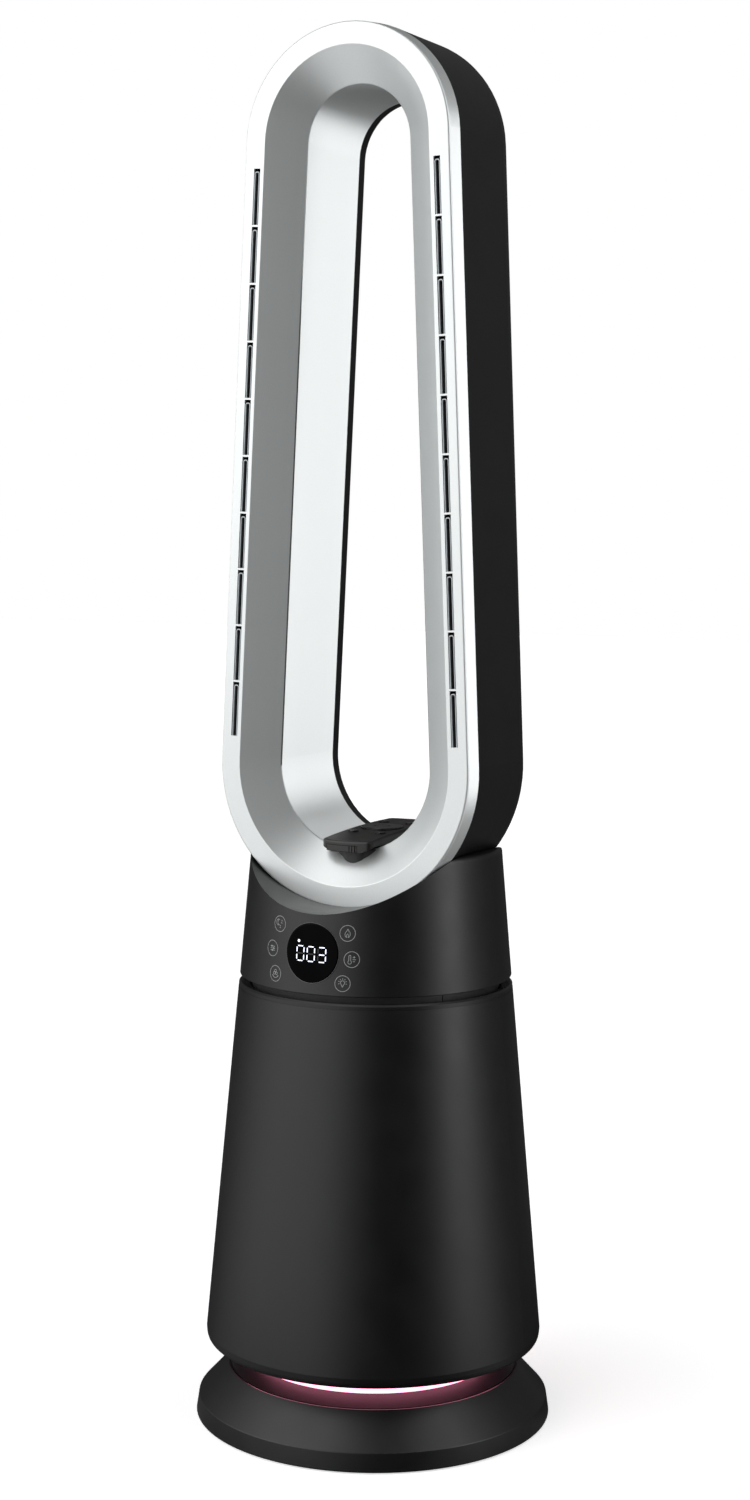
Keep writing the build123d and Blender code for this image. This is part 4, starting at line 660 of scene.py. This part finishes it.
SIGN_STROKES = {
    "sign_sleep": [arc(-1.5, 1.1, 2.1, 60, 300), arc(-0.3, 1.1, 2.0, 105, 255),
                   line((1.0, 2.6), (2.6, 2.6), (1.0, 0.7), (2.6, 0.7)),
                   line((-0.2, -1.2), (0.9, -1.2), (-0.2, -2.6), (0.9, -2.6))],
    "sign_mode": [line((-2.4, 1.4), (2.4, 1.4)), line((-2.4, 0.0), (2.4, 0.0)),
                  line((-2.4, -1.4), (2.4, -1.4)), arc(-0.9, 1.4, 0.5, 0, 360),
                  arc(1.2, 0.0, 0.5, 0, 360), arc(-0.3, -1.4, 0.5, 0, 360)],
    "sign_swing": [arc(0, 1.9, 0.95, 0, 360), arc(-1.1, 0.2, 0.95, 0, 360), arc(1.1, 0.2, 0.95, 0, 360),
                   arc(0, 0.4, 3.3, 218, 322), line((-3.2, -1.0), (-2.6, -1.7), (-1.8, -1.4)),
                   line((3.2, -1.0), (2.6, -1.7), (1.8, -1.4))],
    "sign_heat": [line((0.1, 3.1), (-0.5, 1.7), (-1.5, 0.5), (-1.9, -0.9), (-1.4, -2.3), (-0.4, -2.9)),
                  line((0.1, 3.1), (0.9, 1.9), (0.9, 0.9), (1.5, 1.3), (1.9, -0.1), (1.8, -1.5),
                       (1.2, -2.5), (0.4, -2.9)),
                  line((-0.4, -2.9), (-0.9, -1.9), (-0.4, -0.9), (0.1, -0.2), (0.8, -1.4), (0.4, -2.9))],
    "sign_temperature": [line((-2.1, -0.9), (-2.1, 2.2)), line((-0.7, -0.9), (-0.7, 2.2)),
                         arc(-1.4, 2.2, 0.7, 0, 180), arc(-1.4, -1.9, 1.25, -236, 56),
                         line((0.8, 1.6), (2.4, 1.6)), line((1.6, 0.8), (1.6, 2.4)),
                         line((0.6, 0.0), (3.0, 0.0)), line((0.8, -1.4), (2.4, -1.4))],
    "sign_light": [arc(0, 0.5, 1.5, -52, 232), line((-0.9, -0.7), (-0.5, -1.7)),
                   line((0.9, -0.7), (0.5, -1.7)), line((-0.5, -1.7), (0.5, -1.7)),
                   line((-0.45, -2.3), (0.45, -2.3))]}
RAYS = 7
SIGN_STROKES["sign_light"] += [
    line((2.3 * math.cos(a), 0.5 + 2.3 * math.sin(a)), (3.2 * math.cos(a), 0.5 + 3.2 * math.sin(a)))
    for a in np.radians(np.linspace(-15, 195, RAYS))]
SIGN_PLACES = {                         # degrees to the right of the display, height in millimetres
    "sign_sleep": (-17.4, 374.9), "sign_mode": (-21.0, 357.0), "sign_swing": (-18.2, 339.7),
    "sign_heat": (15.8, 372.8), "sign_temperature": (17.8, 354.8), "sign_light": (14.2, 337.9)}


def add_sign(name):
    """Ring and strokes of one sign, laid on the head as one printed piece."""
    turn, height = SIGN_PLACES[name]
    radius = HEAD_BASE_RADIUS - HEAD_SLOPE * (height * MM - head_low.z)
    centre = np.array([math.radians(turn) * radius, height * MM])
    points, faces, start = [], [], 0
    for path in [arc(0, 0, SIGN_RADIUS / MM, 0, 360, 64)] + SIGN_STROKES[name]:
        grid = stroke_grid(path * MM, PEN) + centre
        points.append(on_head(grid[..., 0], grid[..., 1], PRINT_LIFT).reshape(-1, 3))
        faces.append(grid_faces(len(path), 2) + start)
        start += 2 * len(path)
    add_mesh(name, np.concatenate(points), np.concatenate(faces), sign_grey, "head", False)


for sign in SIGN_PLACES:
    add_sign(sign)
print(len(SIGN_PLACES), "printed signs")

# %% [markdown]
# ## The studio
#
# The picture was taken in a white room with black curtains: a wide white wall to the left front,
# a narrow one to the right, and black cloth between them and behind. That is what puts two soft
# bands of light and a dark one on the drum. The room is drawn as brightness against direction. The
# camera itself sees plain white, and so do glass and polished metal where no curtain hangs.

# %% Curtains
CURTAINS = [                            # degrees to the right of the display, brightness
    (-180, 0.10), (-114, 0.08), (-94, 0.28), (-74, 0.95), (-55, 1.65), (-10, 1.70), (4, 1.05),
    (16, 0.30), (28, 0.00), (62, 0.00), (74, 0.60), (84, 1.60), (102, 1.60), (112, 0.75), (126, 0.22),
    (150, 0.11), (180, 0.10)]
HEIGHTS = [(0.0, 0.75), (0.17, 1.05), (0.5, 1.20), (0.87, 1.05), (1.0, 0.8)]  # sine of the height


def add_ramp(tree, stops, low, high):
    """Colour ramp in grey whose stops are given on a scale from low to high."""
    ramp = tree.nodes.new("ShaderNodeValToRGB")
    for number, (place, tone) in enumerate(stops):
        share = (place - low) / (high - low)
        if number < 2:
            stop = ramp.color_ramp.elements[number]
            stop.position = share
        else:
            stop = ramp.color_ramp.elements.new(share)
        stop.color = (tone, tone, tone, 1)
    return ramp


def add_math(tree, operation, first, second):
    """Math node between sockets or plain numbers."""
    node = tree.nodes.new("ShaderNodeMath")
    node.operation = operation
    for socket, value in zip(node.inputs, (first, second)):
        if isinstance(value, (int, float)):
            socket.default_value = value
        else:
            tree.links.new(value, socket)
    return node.outputs["Value"]


def add_curtain_tone(tree, vector):
    """Brightness of the room in the direction of a vector: its angle round Z goes through a ramp."""
    parts = tree.nodes.new("ShaderNodeSeparateXYZ")
    tree.links.new(vector, parts.inputs["Vector"])
    toward = add_math(tree, "MULTIPLY", parts.outputs["Y"], -1.0)
    angle = add_math(tree, "ARCTAN2", parts.outputs["X"], toward)
    share = add_math(tree, "MULTIPLY_ADD", angle, 1 / (2 * math.pi))
    share.node.inputs[2].default_value = 0.5
    ramp = add_ramp(tree, CURTAINS, -180, 180)
    tree.links.new(share, ramp.inputs["Fac"])
    return ramp.outputs["Color"], parts.outputs["Z"]


def add_seen(tree):
    """One where the camera, a shiny surface or glass looks, and zero for all other light."""
    path = tree.nodes.new("ShaderNodeLightPath")
    seen = add_math(tree, "ADD", path.outputs["Is Camera Ray"], path.outputs["Is Glossy Ray"])
    seen = add_math(tree, "ADD", seen, path.outputs["Is Transmission Ray"])
    return seen, path.outputs["Is Camera Ray"]


def add_product(tree, first, second):
    """Two colours multiplied."""
    mix = tree.nodes.new("ShaderNodeMix")
    mix.data_type, mix.blend_type = "RGBA", "MULTIPLY"
    mix.inputs["Factor"].default_value = 1.0
    tree.links.new(first, mix.inputs["A"])
    tree.links.new(second, mix.inputs["B"])
    return mix.outputs["Result"]


def white_for_camera(tree, tone, camera_ray):
    """The given tone, but white where the camera looks."""
    mix = tree.nodes.new("ShaderNodeMix")
    mix.data_type = "RGBA"
    tree.links.new(camera_ray, mix.inputs["Factor"])
    tree.links.new(tone, mix.inputs["A"])
    mix.inputs["B"].default_value = (1, 1, 1, 1)
    return mix.outputs["Result"]


print("the room's tone is given at", len(CURTAINS), "directions and", len(HEIGHTS), "heights")

# %% [markdown]
# ### The room as a world
#
# The world is a picture at infinity, so it needs no walls in the scene. Its tone is the curtain's
# tone times the tone at that height. What the camera sees is mixed to plain white by the light path.

# %% World


def add_world():
    """The room: curtain tone times height tone for light and reflections, white for the camera."""
    world = bpy.data.worlds.new("studio")
    bpy.context.scene.world = world
    world.use_nodes = True
    tree = world.node_tree
    tree.nodes.clear()
    direction = tree.nodes.new("ShaderNodeTexCoord").outputs["Generated"]
    curtain, height = add_curtain_tone(tree, direction)
    heights = add_ramp(tree, HEIGHTS, 0.0, 1.0)
    tree.links.new(height, heights.inputs["Fac"])
    tone = add_product(tree, curtain, heights.outputs["Color"])
    seen, camera_ray = add_seen(tree)
    room, light = tree.nodes.new("ShaderNodeBackground"), tree.nodes.new("ShaderNodeBackground")
    tree.links.new(white_for_camera(tree, tone, camera_ray), room.inputs["Color"])
    tree.links.new(tone, light.inputs["Color"])
    mix = tree.nodes.new("ShaderNodeMixShader")
    tree.links.new(seen, mix.inputs["Fac"])
    tree.links.new(light.outputs["Background"], mix.inputs[1])
    tree.links.new(room.outputs["Background"], mix.inputs[2])
    out = tree.nodes.new("ShaderNodeOutputWorld")
    tree.links.new(mix.outputs["Shader"], out.inputs["Surface"])


add_world()
print("world:", bpy.context.scene.world.name)

# %% [markdown]
# ### The floor
#
# The fan stands on a white floor, and its soft shadow tells the eye that it touches the ground. The
# floor's own light makes it white for the camera. Shiny parts see the curtains' shade on it instead,
# and darker close to the foot, which shades the floor there.

# %% Floor
FLOOR_SIZE = 12.0
SHADE_LEAST = 0.12                      # of the floor's tone right beside the foot
FLOOR_TONE = 0.60                       # of the floor against the wall behind it, as shiny parts see it
SHADE_NEAR, SHADE_FAR = 0.14, 0.70      # the fan shades the floor between these distances


def add_floor():
    """White floor that keeps the fan's shadow; shiny surfaces see the curtains' shade on it."""
    mesh = bpy.data.meshes.new("floor")
    s = FLOOR_SIZE
    mesh.from_pydata([(-s, -s, 0), (s, -s, 0), (s, s, 0), (-s, s, 0)], [], [(0, 1, 2, 3)])
    floor = bpy.data.objects.new("floor", mesh)
    HOME.objects.link(floor)
    floor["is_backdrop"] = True
    pale = new_finish("pale_floor", (0.8, 0.8, 0.8), 0.9)
    pale.cycles.emission_sampling = "NONE"
    tree = pale.node_tree
    place = tree.nodes.new("ShaderNodeTexCoord").outputs["Object"]
    curtain, _ = add_curtain_tone(tree, place)
    seen, camera_ray = add_seen(tree)
    glow = tree.nodes.new("ShaderNodeEmission")
    tree.links.new(white_for_camera(tree, curtain, camera_ray), glow.inputs["Color"])
    distance = tree.nodes.new("ShaderNodeVectorMath")
    distance.operation = "LENGTH"
    tree.links.new(place, distance.inputs[0])
    shade = tree.nodes.new("ShaderNodeMapRange")
    shade.inputs["From Min"].default_value = SHADE_NEAR
    shade.inputs["From Max"].default_value = SHADE_FAR
    shade.inputs["To Min"].default_value = SHADE_LEAST
    tree.links.new(distance.outputs["Value"], shade.inputs["Value"])
    open_floor = add_math(tree, "MAXIMUM", shade.outputs["Result"], camera_ray)
    strength = add_math(tree, "MULTIPLY", add_math(tree, "MULTIPLY", seen, open_floor), FLOOR_TONE)
    tree.links.new(strength, glow.inputs["Strength"])
    both = tree.nodes.new("ShaderNodeAddShader")
    mix = tree.nodes.new("ShaderNodeMixShader")
    shine = add_math(tree, "SUBTRACT", seen, camera_ray)
    tree.links.new(shine, mix.inputs["Fac"])
    tree.links.new(tree.nodes["Principled BSDF"].outputs["BSDF"], mix.inputs[1])
    tree.links.new(mix.outputs["Shader"], both.inputs[0])
    tree.links.new(glow.outputs["Emission"], both.inputs[1])
    tree.links.new(both.outputs["Shader"], tree.nodes["Material Output"].inputs["Surface"])
    mesh.materials.append(pale)


add_floor()
print("floor", 2 * FLOOR_SIZE, "m wide")

# %% [markdown]
# ### Two softboxes
#
# A softbox at the left front and one at the right give the shadow its direction and the silver its
# shine. They are large, because a small lamp would put a hard spot on the curved drum.

# %% Lamps


def add_softbox(name, turn, away, height, width, tall, power):
    """Area lamp at an angle from the display, aimed level at the axis."""
    lamp = bpy.data.lights.new(name, "AREA")
    lamp.shape, lamp.size, lamp.size_y, lamp.energy = "RECTANGLE", width, tall, power
    box = bpy.data.objects.new(name, lamp)
    a = math.radians(turn)
    box.location = (away * math.sin(a), -away * math.cos(a), height)
    aim = Vector((0, 0, height)) - box.location
    box.rotation_mode = "QUATERNION"
    box.rotation_quaternion = aim.to_track_quat("-Z", "Y")
    box.visible_camera = False
    HOME.objects.link(box)
    return box


softboxes = [
    add_softbox("left_softbox", -42, 2.0, 1.15, 1.2, 1.5, 3.5),
    add_softbox("right_softbox", 93, 1.8, 0.95, 0.5, 1.7, 4.5)]
print("softboxes of", [lamp.data.energy for lamp in softboxes], "W")

# %% [markdown]
# ### Light on the silver alone
#
# The silver gets light from behind the right shoulder, from the left and a little from the front
# and back, which runs through the loop and along its sides, while the black parts stay dark there.
# In the studio, flags keep such kickers off the black parts. Blender does the same with light
# linking: these lamps light only the pieces of one collection.

# %% Kickers on the silver
silver_paints = {silver, slot_silver}
silver_parts = bpy.data.collections.new("silver_parts")
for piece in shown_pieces():
    if silver_paints & set(piece.data.materials):
        silver_parts.objects.link(piece)
kickers = [
    add_softbox("right_kicker", 143, 1.3, 0.70, 0.75, 1.25, 6.2),
    add_softbox("left_kicker", -95, 1.5, 0.75, 0.6, 1.2, 4.6),
    add_softbox("back_kicker", -174, 1.5, 1.25, 0.8, 0.6, 1.6),
    add_softbox("front_kicker", 48, 1.5, 0.70, 0.6, 1.2, 0.40)]
for lamp in kickers:
    lamp.light_linking.receiver_collection = silver_parts

# %% [markdown]
# ## Colours
#
# The Standard view transform shows a colour as it is written.

# %% Colours
bpy.context.scene.view_settings.view_transform = "Standard"
